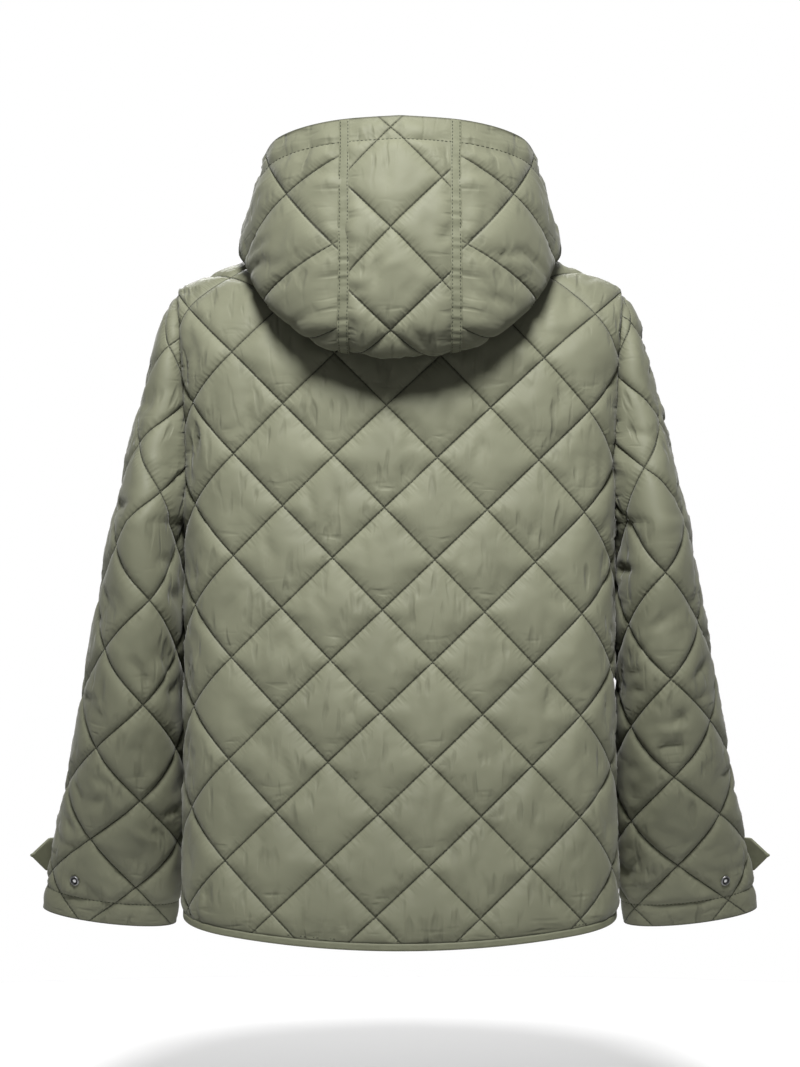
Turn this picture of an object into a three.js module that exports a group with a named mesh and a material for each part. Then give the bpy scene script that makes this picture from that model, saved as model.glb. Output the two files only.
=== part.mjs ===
// A hooded quilted jacket, held open as if worn: back, two fronts, two sleeves, a three-piece hood,
// a front placket with press studs, cuff tabs and a bound hem. Millimetres, +Z up, the front faces -Y.
// The origin is the middle of the neck opening, level with the nape.
//
// Each panel is cut in the flat from cloth quilted in diamonds, then laid on a form. A form turns
// cloth coordinates (across, up) into a point; it runs through the stitching, which is the lowest
// level of the outer face. The wadding stands out of it, and the plain inner face lies behind it.
import * as THREE from "three";

// Cloth
const WALL = 3; // shell, flattened wadding and backing at a stitched line
const PUFF = 7; // how far the wadding stands out in the middle of a diamond
const PUFF_FADE = 26; // the wadding is thinned out this far from a seam
const UNDERARM_FADE = 70; // and this far from the underarm
const SEAM_GAP = 0.3;
const QUILT_PITCH = 99.5; // a diamond's diagonal, so its sides are 70 mm
const QUILT_STEPS = 3; // mesh steps along a diamond's side
const EDGE_STEP = 24;
const KEEP_OFF = 10; // the quilt's mesh points stay this far from an edge
const TURNED_HEM = 25;

// Body, at the stitched level
const HALF_WIDTH = 208.5;
const FLAT_SIDE = 40; // half of the flat strip under the arm
const BACK_DEPTH = 130;
const BACK_CORNER = 66;
const FRONT_DEPTH = 118;
const FRONT_CORNER = 56;
const RIDGE_TOP = 31; // the shoulder line, carried on to the middle
const RIDGE_DROP = 68;
const RIDGE_REACH = 226;
const RIDGE_POWER = 1.7;
const NECK_HALF_WIDTH = 90;
const NECK_BACK = 89;
const NECK_FRONT = 106;
const HEM_BACK = -675;
const HEM_SIDE = -639;
const HEM_FRONT = -652;
const BINDING = 8;
const UNDERARM = -255;
const ARMHOLE_CURVE = 75; // height of the armhole's curved bottom
const ARMHOLE_INSET = 53; // how far the armhole cuts in from the side seam
const ROUNDED_OVER = 160; // the sleeve's section closes and rounds off over this height
const PLACKET_HALF = 22;
const PLACKET_WALL = 3.5;
const PLACKET_LIFT = 0.65; // off the curved fronts
const PLACKET_BED = 25; // no wadding this far either side of the front edge

// How the body's width changes with height
const BODY_WIDTHS = [
  { z: -700, scale: 1.032 },
  { z: -640, scale: 1.026 },
  { z: -540, scale: 1.012 },
  { z: -440, scale: 1.006 },
  { z: -300, scale: 1.004 },
  { z: -232, scale: 1.01 },
  { z: -182, scale: 1.017 },
  { z: -103, scale: 1.036 },
  { z: -55, scale: 1.052 },
  { z: -20, scale: 1.072 },
];

// The sleeve's rings, from the shoulder down: where the outer and inner edges are, half of the ring's
// depth, how far its middle has swung forward, and how it leans out and forward.
const SLEEVE_RINGS = [
  { z: -31, outer: 221, inner: 209.5, depth: 0, forward: 0, lean: 0, nod: 0 },
  { z: -45, outer: 229, inner: 209.5, depth: 34, forward: 0, lean: 0, nod: 0 },
  { z: -60, outer: 235, inner: 209.5, depth: 45, forward: 0, lean: 0, nod: 0 },
  { z: -100, outer: 245, inner: 209.5, depth: 60, forward: 0, lean: 0, nod: 0 },
  { z: -140, outer: 256, inner: 209.5, depth: 66, forward: 0, lean: 0, nod: 0 },
  { z: -180, outer: 266, inner: 209.5, depth: 75, forward: 0, lean: 0, nod: 0 },
  { z: -220, outer: 275, inner: 209.5, depth: 86, forward: 0, lean: 0, nod: 0 },
  { z: -255, outer: 283, inner: 211.5, depth: 92, forward: 0, lean: 0, nod: 0 },
  { z: -280, outer: 288, inner: 217, depth: 90, forward: 1, lean: 0.5, nod: 1.5 },
  { z: -310, outer: 294, inner: 219, depth: 88, forward: 5, lean: 1.5, nod: 4 },
  { z: -380, outer: 307, inner: 219, depth: 81, forward: 14, lean: 3, nod: 8 },
  { z: -460, outer: 322, inner: 219, depth: 71, forward: 31, lean: 4.5, nod: 11 },
  { z: -540, outer: 338, inner: 219.5, depth: 59, forward: 55, lean: 6, nod: 12 },
  { z: -610, outer: 354, inner: 222, depth: 47, forward: 80, lean: 6.5, nod: 11 },
  { z: -657, outer: 365, inner: 228, depth: 39, forward: 95, lean: 6.5, nod: 10 },
];
const CUFF_LEVEL = -657;
const SHOULDER_TIP = -31;

// The hood's loops, from the neck seam out and down to the fold on the back, then up to the face
// edge. Each row is a place round the neck, by its angle from the nape.
const HOOD_LOOPS = ["neck", "roll", "under", "fold", "swell", "widest", "shoulder", "brow", "edge"];
const HOOD_COLUMNS = [
  { angle: 0, out: [0, 117, 148, 173, 197, 209, 207, 196, 184], up: [0, 2, -42, -96, -76, -20, 48, 102, 133] },
  { angle: 22, out: [0, 115, 146, 173, 195, 205, 202, 190, 179], up: [0, 7, -36, -90, -73, -20, 44, 98, 129] },
  { angle: 45, out: [0, 113, 142, 170, 184, 190, 184, 174, 166], up: [0, 20, -8, -48, -45, -11, 38, 87, 118] },
  { angle: 57, out: [0, 111, 138, 162, 173, 176, 170, 162, 156], up: [0, 28, 15, -8, -16, -5, 38, 78, 107] },
  { angle: 68, out: [0, 110, 136, 158, 167, 168, 160, 152, 146], up: [0, 30, 21, 5, 1, 7, 38, 70, 94] },
  { angle: 90, out: [0, 108, 128, 144, 151, 151, 147, 142, 137], up: [0, 36, 36, 29, 29, 33, 46, 60, 71] },
  { angle: 115, out: [0, 106, 121, 131, 137, 138, 136, 132, 128], up: [0, 24, 26, 22, 24, 27, 36, 44, 50] },
  { angle: 145, out: [0, 115, 122, 128, 131, 132, 131, 129, 127], up: [0, -7, -4, -4, 0, 5, 12, 19, 25] },
  { angle: 180, out: [0, 113, 117, 120, 121, 122, 121, 120, 119], up: [0, -33, -31, -28, -24, -19, -13, -7, -1] },
];
const HOOD_STRIP = 54; // half of the centre strip
const HOOD_FRONT_GAP = 6; // the two front edges stand this far each side of the middle
const HOOD_ACROSS = 345; // cloth from the nape to the front edge, half way up

// Press studs and cuff tabs
const STUD_RADIUS = 5.2;
const STUD_HEIGHT = 2.4;
const STUD_PAD = 8;
const STUD_PAD_PUFF = 2.5;
const FRONT_STUDS = 6;
const CUFF_STUD = { across: 50, up: 45 };
const TAB = { up: 50, half: 18, point: 21, start: -78, leaves: -34, free: 42, wall: 2.6, stud: 19 };

// Where a crossing of the quilting lines falls on each panel, and how the lines are turned
const QUILTS = {
  back: { across: 17, up: -343, turn: 1.2 },
  front: { across: 0, up: -343, turn: 0 },
  sleeve_left: { across: 112, up: 45, turn: 0 },
  sleeve_right: { across: 97, up: 70, turn: 0 },
  hood_centre: { across: 9, up: -112, turn: 0 },
  hood_side: { across: 100, up: -66, turn: 12 },
};

const radians = THREE.MathUtils.degToRad;

// A smooth curve through one column of a table whose first column is the key.
function column(table, key, name) {
  const rows = [...table].sort((a, b) => a[key] - b[key]);
  const slope = rows.map((row, i) => {
    const before = rows[Math.max(i - 1, 0)];
    const after = rows[Math.min(i + 1, rows.length - 1)];
    return (after[name] - before[name]) / (after[key] - before[key]);
  });
  return (at) => {
    const x = THREE.MathUtils.clamp(at, rows[0][key], rows[rows.length - 1][key]);
    const i = Math.min(rows.findLastIndex((row) => row[key] <= x), rows.length - 2);
    const span = rows[i + 1][key] - rows[i][key];
    const t = (x - rows[i][key]) / span;
    const ease = t * t * (3 - 2 * t);
    return (
      rows[i][name] * (1 - ease) +
      rows[i + 1][name] * ease +
      span * (slope[i] * t * (1 - t) * (1 - t) - slope[i + 1] * t * t * (1 - t))
    );
  };
}

// The point at a distance along a line of points, and the line's length.
function measured(points) {
  const lengths = [0];
  for (let i = 1; i < points.length; i++) {
    lengths.push(lengths[i - 1] + points[i].distanceTo(points[i - 1]));
  }
  const total = lengths[lengths.length - 1];
  const at = (distance) => {
    const d = THREE.MathUtils.clamp(distance, 0, total);
    const i = Math.min(Math.max(lengths.findIndex((l) => l >= d), 1), points.length - 1);
    const t = (d - lengths[i - 1]) / Math.max(lengths[i] - lengths[i - 1], 1e-9);
    return { place: i - 1 + t, point: points[i - 1].clone().lerp(points[i], t) };
  };
  return { total, at };
}

// A form's point moved out along its normal. spot(a, b) gives the point for two form coordinates.
function movedOut(spot, a, b, step, out, facing) {
  const along = spot(a + step[0], b).sub(spot(a - step[0], b));
  const up = spot(a, b + step[1]).sub(spot(a, b - step[1]));
  const normal = along.cross(up).normalize().multiplyScalar(facing * out);
  return spot(a, b).add(normal);
}

// The body: a rounded box in plan, whose back and front bend over to the shoulder line

const bodyScale = column(BODY_WIDTHS, "z", "scale");
const ridgeHeight = (x) => RIDGE_TOP - RIDGE_DROP * (Math.abs(x) / RIDGE_REACH) ** RIDGE_POWER;

// A quarter of the plan: a shallow arc, a corner arc, then the flat strip under the arm.
function plan(depth, corner) {
  const rise = depth - FLAT_SIDE;
  const reach = HALF_WIDTH - corner;
  const shallow = (reach ** 2 + rise ** 2 - corner ** 2) / (2 * (rise - corner));
  const turned = Math.atan2(reach, shallow - rise);
  const first = shallow * turned;
  const second = first + corner * (Math.PI / 2 - turned);
  return {
    side: second + FLAT_SIDE,
    at(across) {
      const s = Math.abs(across);
      const heading = s < first ? s / shallow : Math.min(turned + (s - first) / corner, Math.PI / 2);
      const x =
        s < first
          ? shallow * Math.sin(heading)
          : shallow * Math.sin(turned) + corner * (Math.sin(heading) - Math.sin(turned));
      const y =
        s < first
          ? depth - shallow * (1 - Math.cos(heading))
          : depth - shallow * (1 - Math.cos(turned)) - corner * (Math.cos(turned) - Math.cos(heading));
      return { x: Math.sign(across) * x, y: s > second ? y - (s - second) : y };
    },
  };
}

const backPlan = plan(BACK_DEPTH, BACK_CORNER);
const frontPlan = plan(FRONT_DEPTH, FRONT_CORNER);

// facing is 1 for the back and -1 for the front.
function bodySpot(half, facing, across, up) {
  const { x, y } = half.at(across);
  const bend = Math.max(y, 1);
  const start = ridgeHeight(x) - bend;
  const turn = Math.max(up - start, 0) / bend;
  const z = up < start ? up : start + bend * Math.sin(turn);
  return new THREE.Vector3(x * bodyScale(z), facing * (up < start ? y : bend * Math.cos(turn)), z);
}

function body(half, facing) {
  const spot = (s, h) => bodySpot(half, facing, s, h);
  return (across, up, out) => movedOut(spot, across, up, [2, 2], out, -facing);
}

const onBack = body(backPlan, 1);
const onFront = body(frontPlan, -1);

// Cloth height where the bent-over body is a given distance behind the shoulder line.
function upAtDepth(half, across, depth) {
  const { x, y } = half.at(across);
  return ridgeHeight(x) - y + y * Math.acos(THREE.MathUtils.clamp(depth / y, 0, 1));
}

// Neck edge from the shoulder seam (0) to the middle (1), in cloth coordinates.
function neckEdge(half, depth, share) {
  const angle = (share * Math.PI) / 2;
  const x = NECK_HALF_WIDTH * Math.cos(angle);
  let across = x;
  for (let i = 0; i < 6; i++) {
    across += x - half.at(across).x;
  }
  return [across, upAtDepth(half, across, depth * Math.sin(angle))];
}

// Armhole from the underarm (0) to the shoulder tip (1), in cloth coordinates.
function armholeEdge(half, share) {
  const inner = half.side - ARMHOLE_INSET;
  const top = upAtDepth(half, inner, 0);
  const straight = top - UNDERARM - ARMHOLE_CURVE;
  const bottom = (Math.PI / 4) * (ARMHOLE_CURVE + ARMHOLE_INSET);
  const gone = share * (bottom + straight);
  if (gone > bottom) return [inner, UNDERARM + ARMHOLE_CURVE + gone - bottom];
  const angle = (Math.PI / 2) * (gone / bottom);
  return [
    half.side - ARMHOLE_INSET * Math.sin(angle),
    UNDERARM + ARMHOLE_CURVE * (1 - Math.cos(angle)),
  ];
}

const hemUp = (half, middle, across) => middle + (HEM_SIDE - middle) * (across / half.side) ** 2;

// The sleeve: rings that are closed below the underarm, and end on the armhole above it

const ringValue = Object.fromEntries(
  ["outer", "inner", "depth", "forward", "lean", "nod"].map((name) => [
    name,
    column(SLEEVE_RINGS, "z", name),
  ]),
);

// Where the armhole is at a height, as a point of the body.
function armholeAt(half, facing, z) {
  const inner = half.side - ARMHOLE_INSET;
  if (z <= UNDERARM + ARMHOLE_CURVE) {
    const sunk = THREE.MathUtils.clamp((UNDERARM + ARMHOLE_CURVE - z) / ARMHOLE_CURVE, 0, 1);
    return bodySpot(half, facing, half.side - ARMHOLE_INSET * Math.sqrt(1 - sunk * sunk), z);
  }
  const { x, y } = half.at(inner);
  const start = ridgeHeight(x) - y;
  const turn = Math.asin(THREE.MathUtils.clamp((z - start) / y, 0, 1));
  return bodySpot(half, facing, inner, z < start ? z : start + y * turn);
}

// A point of the left sleeve. turn runs from the seam (0) to the outer line (1) on the back, and
// from the outer line to the seam (-1 to 0) on the front.
function sleeveSpot(turn, z) {
  const back = turn >= 0;
  const t = 1 - Math.abs(1 - Math.abs(turn));
  const seam = back ? armholeAt(backPlan, 1, z) : armholeAt(frontPlan, -1, z);
  const closed = z <= UNDERARM;
  const round = THREE.MathUtils.smoothstep(UNDERARM + ARMHOLE_CURVE - z, 0, ROUNDED_OVER);
  const outer = ringValue.outer(z);
  const from = closed ? ringValue.inner(z) : seam.x + SEAM_GAP;
  const seamDepth = closed ? 0 : Math.abs(seam.y);
  const bulge = Math.max(ringValue.depth(z) - 0.75 * seamDepth, 0);
  const open = Math.sin((t * Math.PI) / 2);
  const x = from + (outer - from) * (open * (1 - round) + ((1 - Math.cos(t * Math.PI)) / 2) * round);
  const y = (seamDepth * Math.cos((t * Math.PI) / 2) + bulge * Math.sin(t * Math.PI)) * (back ? 1 : -1);
  const middle = (outer + ringValue.inner(z)) / 2;
  const lean = radians(ringValue.lean(z));
  const nod = radians(ringValue.nod(z));
  return new THREE.Vector3(
    middle + (x - middle) * Math.cos(lean),
    y * Math.cos(nod) - ringValue.forward(z),
    z + (x - middle) * Math.sin(lean) - y * Math.sin(nod),
  );
}

// Cloth height along the outer line, from the cuff.
const SLEEVE_LEVELS = 314;
const levelAt = (i) => CUFF_LEVEL + ((SHOULDER_TIP - CUFF_LEVEL) * i) / SLEEVE_LEVELS;
const outerLine = measured(
  Array.from({ length: SLEEVE_LEVELS + 1 }, (_, i) => sleeveSpot(1, levelAt(i))),
);
const sleeveLevel = (up) => levelAt(outerLine.at(up).place);

function sleeveUp(z) {
  const i = ((z - CUFF_LEVEL) / (SHOULDER_TIP - CUFF_LEVEL)) * SLEEVE_LEVELS;
  let [low, high] = [0, outerLine.total];
  for (let n = 0; n < 40; n++) {
    const middle = (low + high) / 2;
    if (outerLine.at(middle).place < i) low = middle;
    else high = middle;
  }
  return low;
}

// Half a ring, from the outer line to the seam.
const RING_STEPS = 72;
const halfRing = (z, sign) =>
  measured(
    Array.from({ length: RING_STEPS + 1 }, (_, i) => {
      const t = 1 - i / RING_STEPS;
      return sleeveSpot(sign > 0 ? t : t === 0 ? -1e-9 : -t, z);
    }),
  );
const ringHalf = (up, sign) => halfRing(sleeveLevel(up), sign).total;

function onSleeve(across, up, out) {
  const z = sleeveLevel(up);
  const sign = across >= 0 ? 1 : -1;
  const t = 1 - halfRing(z, sign).at(Math.abs(across)).place / RING_STEPS;
  const spot = (a, b) => {
    // a runs through the outer line from the front half (below 0) to the back half (above 0)
    const share = 1 - Math.abs(a);
    return sleeveSpot(a >= 0 ? share : -Math.max(share, 1e-9), b);
  };
  const a = sign * Math.min(1 - t, 0.998);
  const level = Math.min(Math.max(z, CUFF_LEVEL + 1), SHOULDER_TIP - 1.5);
  const along = spot(a + 0.002, level).sub(spot(a - 0.002, level));
  const rise = spot(a, level + 1).sub(spot(a, level - 1));
  const normal = along.cross(rise).normalize().multiplyScalar(out);
  return sleeveSpot(sign > 0 ? t : -Math.max(t, 1e-9), z).add(normal);
}

// The hood

function neckPoint(degrees) {
  const share = degrees <= 90 ? 1 - degrees / 90 : (degrees - 90) / 90;
  const [half, facing, depth] = degrees <= 90 ? [backPlan, 1, NECK_BACK] : [frontPlan, -1, NECK_FRONT];
  const [across, up] = neckEdge(half, depth, share);
  return bodySpot(half, facing, across, up);
}

const hoodOut = HOOD_LOOPS.map((_, loop) =>
  column(HOOD_COLUMNS.map((row) => ({ angle: row.angle, value: row.out[loop] })), "angle", "value"),
);
const hoodUp = HOOD_LOOPS.map((_, loop) =>
  column(HOOD_COLUMNS.map((row) => ({ angle: row.angle, value: row.up[loop] })), "angle", "value"),
);

const LOOP_STEPS = 120;
const hoodLoops = HOOD_LOOPS.map((_, loop) => {
  const points = [];
  for (let i = 0; i <= LOOP_STEPS; i++) {
    const degrees = (180 * i) / LOOP_STEPS;
    const angle = radians(degrees);
    const point =
      loop === 0
        ? neckPoint(degrees).add(new THREE.Vector3(0, 0, SEAM_GAP + WALL))
        : new THREE.Vector3(
            hoodOut[loop](degrees) * Math.sin(angle),
            hoodOut[loop](degrees) * Math.cos(angle),
            hoodUp[loop](degrees),
          );
    points.push(point);
  }
  return measured(points);
});

// A column of the hood from its face edge to the neck seam.
const COLUMN_STEPS = 60;
const hoodColumns = new Map();
function hoodColumn(across) {
  const key = across.toFixed(4);
  if (!hoodColumns.has(key)) {
    const s = Math.abs(across);
    const strip = s <= HOOD_STRIP;
    const share = (s - HOOD_STRIP) / (HOOD_ACROSS - HOOD_STRIP);
    const posts = hoodLoops
      .map(({ total, at }) => at(strip ? s : HOOD_STRIP + (total - HOOD_FRONT_GAP - HOOD_STRIP) * share).point)
      .reverse();
    const line = new THREE.CatmullRomCurve3(posts, false, "centripetal").getPoints(COLUMN_STEPS);
    hoodColumns.set(key, measured(line));
  }
  return hoodColumns.get(key);
}
const hoodLength = (across) => hoodColumn(across).total;

// up is 0 at the face edge and falls to minus the column's length at the neck seam.
function onHood(across, up, out) {
  const place = (s, h) => {
    const point = hoodColumn(s).at(-h).point;
    return s < 0 ? point.setX(-point.x) : point;
  };
  const s = THREE.MathUtils.clamp(across, -HOOD_ACROSS + 2, HOOD_ACROSS - 2);
  const share = -up / hoodLength(across);
  const level = (a) => -THREE.MathUtils.clamp(share, 0.01, 0.99) * hoodLength(a);
  const along = place(s + 2, level(s + 2)).sub(place(s - 2, level(s - 2)));
  const rise = place(s, level(s) + 1).sub(place(s, level(s) - 1));
  const normal = along.cross(rise).normalize().multiplyScalar(-out);
  return place(across, up).add(normal);
}

// Cutting and sewing

// Points along one side of a panel, evenly spaced, without the last one.
function side(length, at) {
  const steps = Math.max(1, Math.round(length / EDGE_STEP));
  return Array.from({ length: steps }, (_, i) => at(i / steps));
}

const crossing = (quilt, across, up) => {
  const turn = radians(quilt.turn);
  const dx = across - quilt.across;
  const dy = up - quilt.up;
  const x = dx * Math.cos(turn) + dy * Math.sin(turn);
  const y = dy * Math.cos(turn) - dx * Math.sin(turn);
  return [(x + y) / QUILT_PITCH, (x - y) / QUILT_PITCH];
};

// 0 on a quilting line, 1 in the middle of a diamond.
function pillow(quilt, across, up) {
  return crossing(quilt, across, up)
    .map((v) => 1 - Math.abs(2 * (v - Math.floor(v)) - 1))
    .map((v) => 1 - (1 - v) ** 2.4)
    .reduce((a, b) => a * b, 1);
}

// Distance to a closed loop of points, or to an open line of them.
function nearest(loop, x, y, open = false) {
  let best = Infinity;
  loop.forEach((a, i) => {
    if (open && i === loop.length - 1) return;
    const b = loop[(i + 1) % loop.length];
    const [dx, dy] = [b[0] - a[0], b[1] - a[1]];
    const t = THREE.MathUtils.clamp(((x - a[0]) * dx + (y - a[1]) * dy) / (dx * dx + dy * dy), 0, 1);
    best = Math.min(best, Math.hypot(x - a[0] - t * dx, y - a[1] - t * dy));
  });
  return best;
}

function inside(loop, x, y) {
  let odd = false;
  loop.forEach((a, i) => {
    const b = loop[(i + 1) % loop.length];
    if (a[1] > y !== b[1] > y && x < a[0] + ((b[0] - a[0]) * (y - a[1])) / (b[1] - a[1])) odd = !odd;
  });
  return odd;
}

// Bowyer and Watson's triangulation, keeping the triangles inside the outline.
function triangulate(points, loop) {
  const jitter = (i) => Math.sin(i * 12.9898) * 1e-3;
  const p = points.map(([x, y], i) => [x + jitter(i), y + jitter(i + 0.5)]);
  const far = 1e5;
  p.push([-far, -far], [far, -far], [0, far]);
  const n = points.length;
  const made = (a, b, c) => {
    const [ax, ay] = p[a];
    const [bx, by] = [p[b][0] - ax, p[b][1] - ay];
    const [cx, cy] = [p[c][0] - ax, p[c][1] - ay];
    const d = 2 * (bx * cy - by * cx);
    const ux = (cy * (bx * bx + by * by) - by * (cx * cx + cy * cy)) / d;
    const uy = (bx * (cx * cx + cy * cy) - cx * (bx * bx + by * by)) / d;
    return { corners: [a, b, c], x: ax + ux, y: ay + uy, reach: ux * ux + uy * uy };
  };
  let triangles = [made(n, n + 1, n + 2)];
  for (let i = 0; i < n; i++) {
    const hit = triangles.filter((t) => (p[i][0] - t.x) ** 2 + (p[i][1] - t.y) ** 2 < t.reach);
    const edges = new Map();
    for (const { corners } of hit) {
      corners.forEach((a, k) => {
        const b = corners[(k + 1) % 3];
        if (edges.has(`${b},${a}`)) edges.delete(`${b},${a}`);
        else edges.set(`${a},${b}`, [a, b]);
      });
    }
    const gone = new Set(hit);
    triangles = triangles.filter((t) => !gone.has(t));
    for (const [a, b] of edges.values()) {
      triangles.push(made(a, b, i));
    }
  }
  const middle = (t, axis) => t.corners.reduce((sum, c) => sum + p[c][axis], 0) / 3;
  return triangles
    .filter((t) => t.corners.every((c) => c < n) && inside(loop, middle(t, 0), middle(t, 1)))
    .map((t) => t.corners);
}

// A closed wall over a triangulated flat piece. Each corner has its outer and its inner point, and
// a wall closes each stretch of the edge that isn't sewn to another stretch of the same panel.
function wallGeometry(outer, inner, triangles, edge, mirrored) {
  const positions = [];
  const add = (a, b, c) => {
    const corners = mirrored ? [a, c, b] : [a, b, c];
    corners.forEach((v) => positions.push(mirrored ? -v.x : v.x, v.y, v.z));
  };
  for (const [a, b, c] of triangles) {
    add(outer[a], outer[b], outer[c]);
    add(inner[a], inner[c], inner[b]);
  }
  for (const [a, b] of edge) {
    const rising = outer[b].z > outer[a].z; // panels on both sides of a seam are cut across alike
    add(outer[b], outer[a], rising ? inner[a] : inner[b]);
    add(rising ? outer[b] : outer[a], inner[a], inner[b]);
  }
  return new THREE.BufferGeometry().setAttribute(
    "position",
    new THREE.Float32BufferAttribute(positions, 3),
  );
}

// Cuts a quilted panel by its outline, and lays it on its form. facing is -1 where the form's
// (across, up) turns clockwise seen from outside. Stitch lines are rows of points with no wadding,
// studs are flat pads, and thin gives the share of the wadding left at a point.
function quiltedPanel(panel) {
  const { outline, quilt, form, sewn, mirrored, facing = 1, stitches = [], studs = [] } = panel;
  const thin = panel.thin || (() => 1);
  const loop = outline.map(({ at }) => at);
  const points = [...loop];
  const bare = new Set();
  for (const line of stitches) {
    for (const at of line.slice(1, -1)) {
      bare.add(points.length);
      points.push(at);
    }
  }
  const pads = new Set();
  for (const stud of studs) {
    for (let i = 0; i < 7; i++) {
      const angle = (i * Math.PI) / 3;
      const reach = i === 6 ? 0 : STUD_PAD;
      pads.add(points.length);
      points.push([stud[0] + reach * Math.cos(angle), stud[1] + reach * Math.sin(angle)]);
    }
  }
  const fixed = points.slice(loop.length);
  const step = QUILT_PITCH / (2 * QUILT_STEPS);
  const xs = loop.map(([x]) => x);
  const ys = loop.map(([, y]) => y);
  const [left, right, low, high] = [Math.min(...xs), Math.max(...xs), Math.min(...ys), Math.max(...ys)];
  const turn = radians(quilt.turn);
  const span = Math.ceil((right - left + high - low) / step) + 8;
  for (let i = -span; i <= span; i++) {
    for (let j = -span; j <= span; j++) {
      const u = (i + j) * step;
      const v = (i - j) * step;
      const x = quilt.across + u * Math.cos(turn) - v * Math.sin(turn);
      const y = quilt.up + u * Math.sin(turn) + v * Math.cos(turn);
      if (x < left || x > right || y < low || y > high || !inside(loop, x, y)) continue;
      if (nearest(loop, x, y) < KEEP_OFF) continue;
      if (fixed.some(([a, b]) => Math.hypot(a - x, b - y) < KEEP_OFF)) continue;
      if (stitches.some((line) => nearest(line, x, y, true) < KEEP_OFF)) continue;
      points.push([x, y]);
    }
  }
  const fade = ([x, y]) => {
    const lines = stitches.map((line) => nearest(line, x, y, true));
    return Math.min(1, nearest(loop, x, y) / PUFF_FADE, ...lines.map((d) => d / (PUFF_FADE / 2)));
  };
  const outOf = (point, i) => {
    if (i < loop.length || bare.has(i)) return 0;
    if (pads.has(i)) return STUD_PAD_PUFF;
    return PUFF * pillow(quilt, point[0], point[1]) * fade(point) * thin(point);
  };
  const laid = points.map((point, i) => (i < loop.length && outline[i].place) || point);
  const outer = laid.map((point, i) => form(point[0], point[1], outOf(points[i], i)));
  const inner = laid.map((point) => form(point[0], point[1], -WALL));
  let triangles = triangulate(points, loop);
  let edge = loop.map((_, i) => [i, (i + 1) % loop.length]);
  if (sewn) edge = edge.filter(([a, b]) => !sewn(a, b));
  if (facing < 0) {
    triangles = triangles.map(([a, b, c]) => [a, c, b]);
    edge = edge.map(([a, b]) => [b, a]);
  }
  return wallGeometry(outer, inner, triangles, edge, mirrored);
}

// A plain ribbon between two lines of points: rows of [outer, outer, inner, inner] corners.
function ribbon(rows, mirrored) {
  const positions = [];
  const add = (...corners) => {
    const order = mirrored ? [corners[0], corners[2], corners[1]] : corners;
    order.forEach((v) => positions.push(mirrored ? -v.x : v.x, v.y, v.z));
  };
  const quad = (a, b, c, d) => {
    add(a, b, c);
    add(a, c, d);
  };
  rows.slice(1).forEach((row, i) => {
    const last = rows[i];
    row.forEach((corner, k) => {
      const next = (k + 1) % row.length;
      quad(last[k], last[next], row[next], corner);
    });
  });
  const cap = (row, forward) => {
    for (let k = 1; k < row.length - 1; k++) {
      if (forward) add(row[0], row[k], row[k + 1]);
      else add(row[0], row[k + 1], row[k]);
    }
  };
  cap(rows[0], false);
  cap(rows[rows.length - 1], true);
  return new THREE.BufferGeometry().setAttribute(
    "position",
    new THREE.Float32BufferAttribute(positions, 3),
  );
}

// Outlines

const plain = (points) => points.map((at) => ({ at }));
const gap = SEAM_GAP / 2;

function backOutline() {
  const { side: edge } = backPlan;
  const hem = (s) => [s, hemUp(backPlan, HEM_BACK, s) + BINDING + SEAM_GAP];
  const seamHeight = UNDERARM - HEM_SIDE - BINDING;
  const armLength = 290;
  const right = [
    ...side(2 * edge, (t) => hem((edge - gap) * (2 * t - 1))),
    ...side(seamHeight, (t) => [edge - gap, hem(edge)[1] + (UNDERARM - hem(edge)[1]) * t]),
    ...side(armLength, (t) => armholeEdge(backPlan, t)).map(([s, h], i) => [s - gap, h - (i ? 0 : gap)]),
  ];
  const tip = armholeEdge(backPlan, 1);
  const [neckAcross] = neckEdge(backPlan, NECK_BACK, 0);
  const shoulder = side(tip[0] - neckAcross, (t) => {
    const s = tip[0] - gap + (neckAcross - tip[0] + gap) * t;
    return [s, upAtDepth(backPlan, s, gap)];
  });
  const neck = side(150, (t) => neckEdge(backPlan, NECK_BACK, t)).map(([s, h]) => [s, h - gap]);
  const half = [...shoulder, ...neck];
  const middle = neckEdge(backPlan, NECK_BACK, 1);
  const mirror = (points) => [...points].reverse().map(([s, h]) => [-s, h]);
  const arm = right.slice(-Math.round(armLength / EDGE_STEP));
  const seamSteps = Math.round(seamHeight / EDGE_STEP);
  const seam = right.slice(-arm.length - seamSteps, -arm.length);
  return plain([
    ...right,
    ...half,
    [0, middle[1] - gap],
    ...mirror(half),
    ...mirror(arm),
    ...mirror(seam.slice(1)),
  ]);
}

function frontOutline() {
  const { side: edge } = frontPlan;
  const hem = (s) => [s, hemUp(frontPlan, HEM_FRONT, s) + BINDING + SEAM_GAP];
  const seamHeight = UNDERARM - HEM_SIDE - BINDING;
  const tip = armholeEdge(frontPlan, 1);
  const [neckAcross] = neckEdge(frontPlan, NECK_FRONT, 0);
  return plain([
    ...side(edge, (t) => hem(gap + (edge - 2 * gap) * t)),
    ...side(seamHeight, (t) => [edge - gap, hem(edge)[1] + (UNDERARM - hem(edge)[1]) * t]),
    ...side(290, (t) => armholeEdge(frontPlan, t)).map(([s, h], i) => [s - gap, h - (i ? 0 : gap)]),
    ...side(tip[0] - neckAcross, (t) => {
      const s = tip[0] - gap + (neckAcross - tip[0] + gap) * t;
      return [s, upAtDepth(frontPlan, s, gap)];
    }),
    ...side(160, (t) => neckEdge(frontPlan, NECK_FRONT, t)).map(([s, h]) => [s, h - gap]),
    ...frontHeights()
      .slice(1)
      .reverse()
      .map((up) => [gap, up]),
  ]);
}

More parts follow.
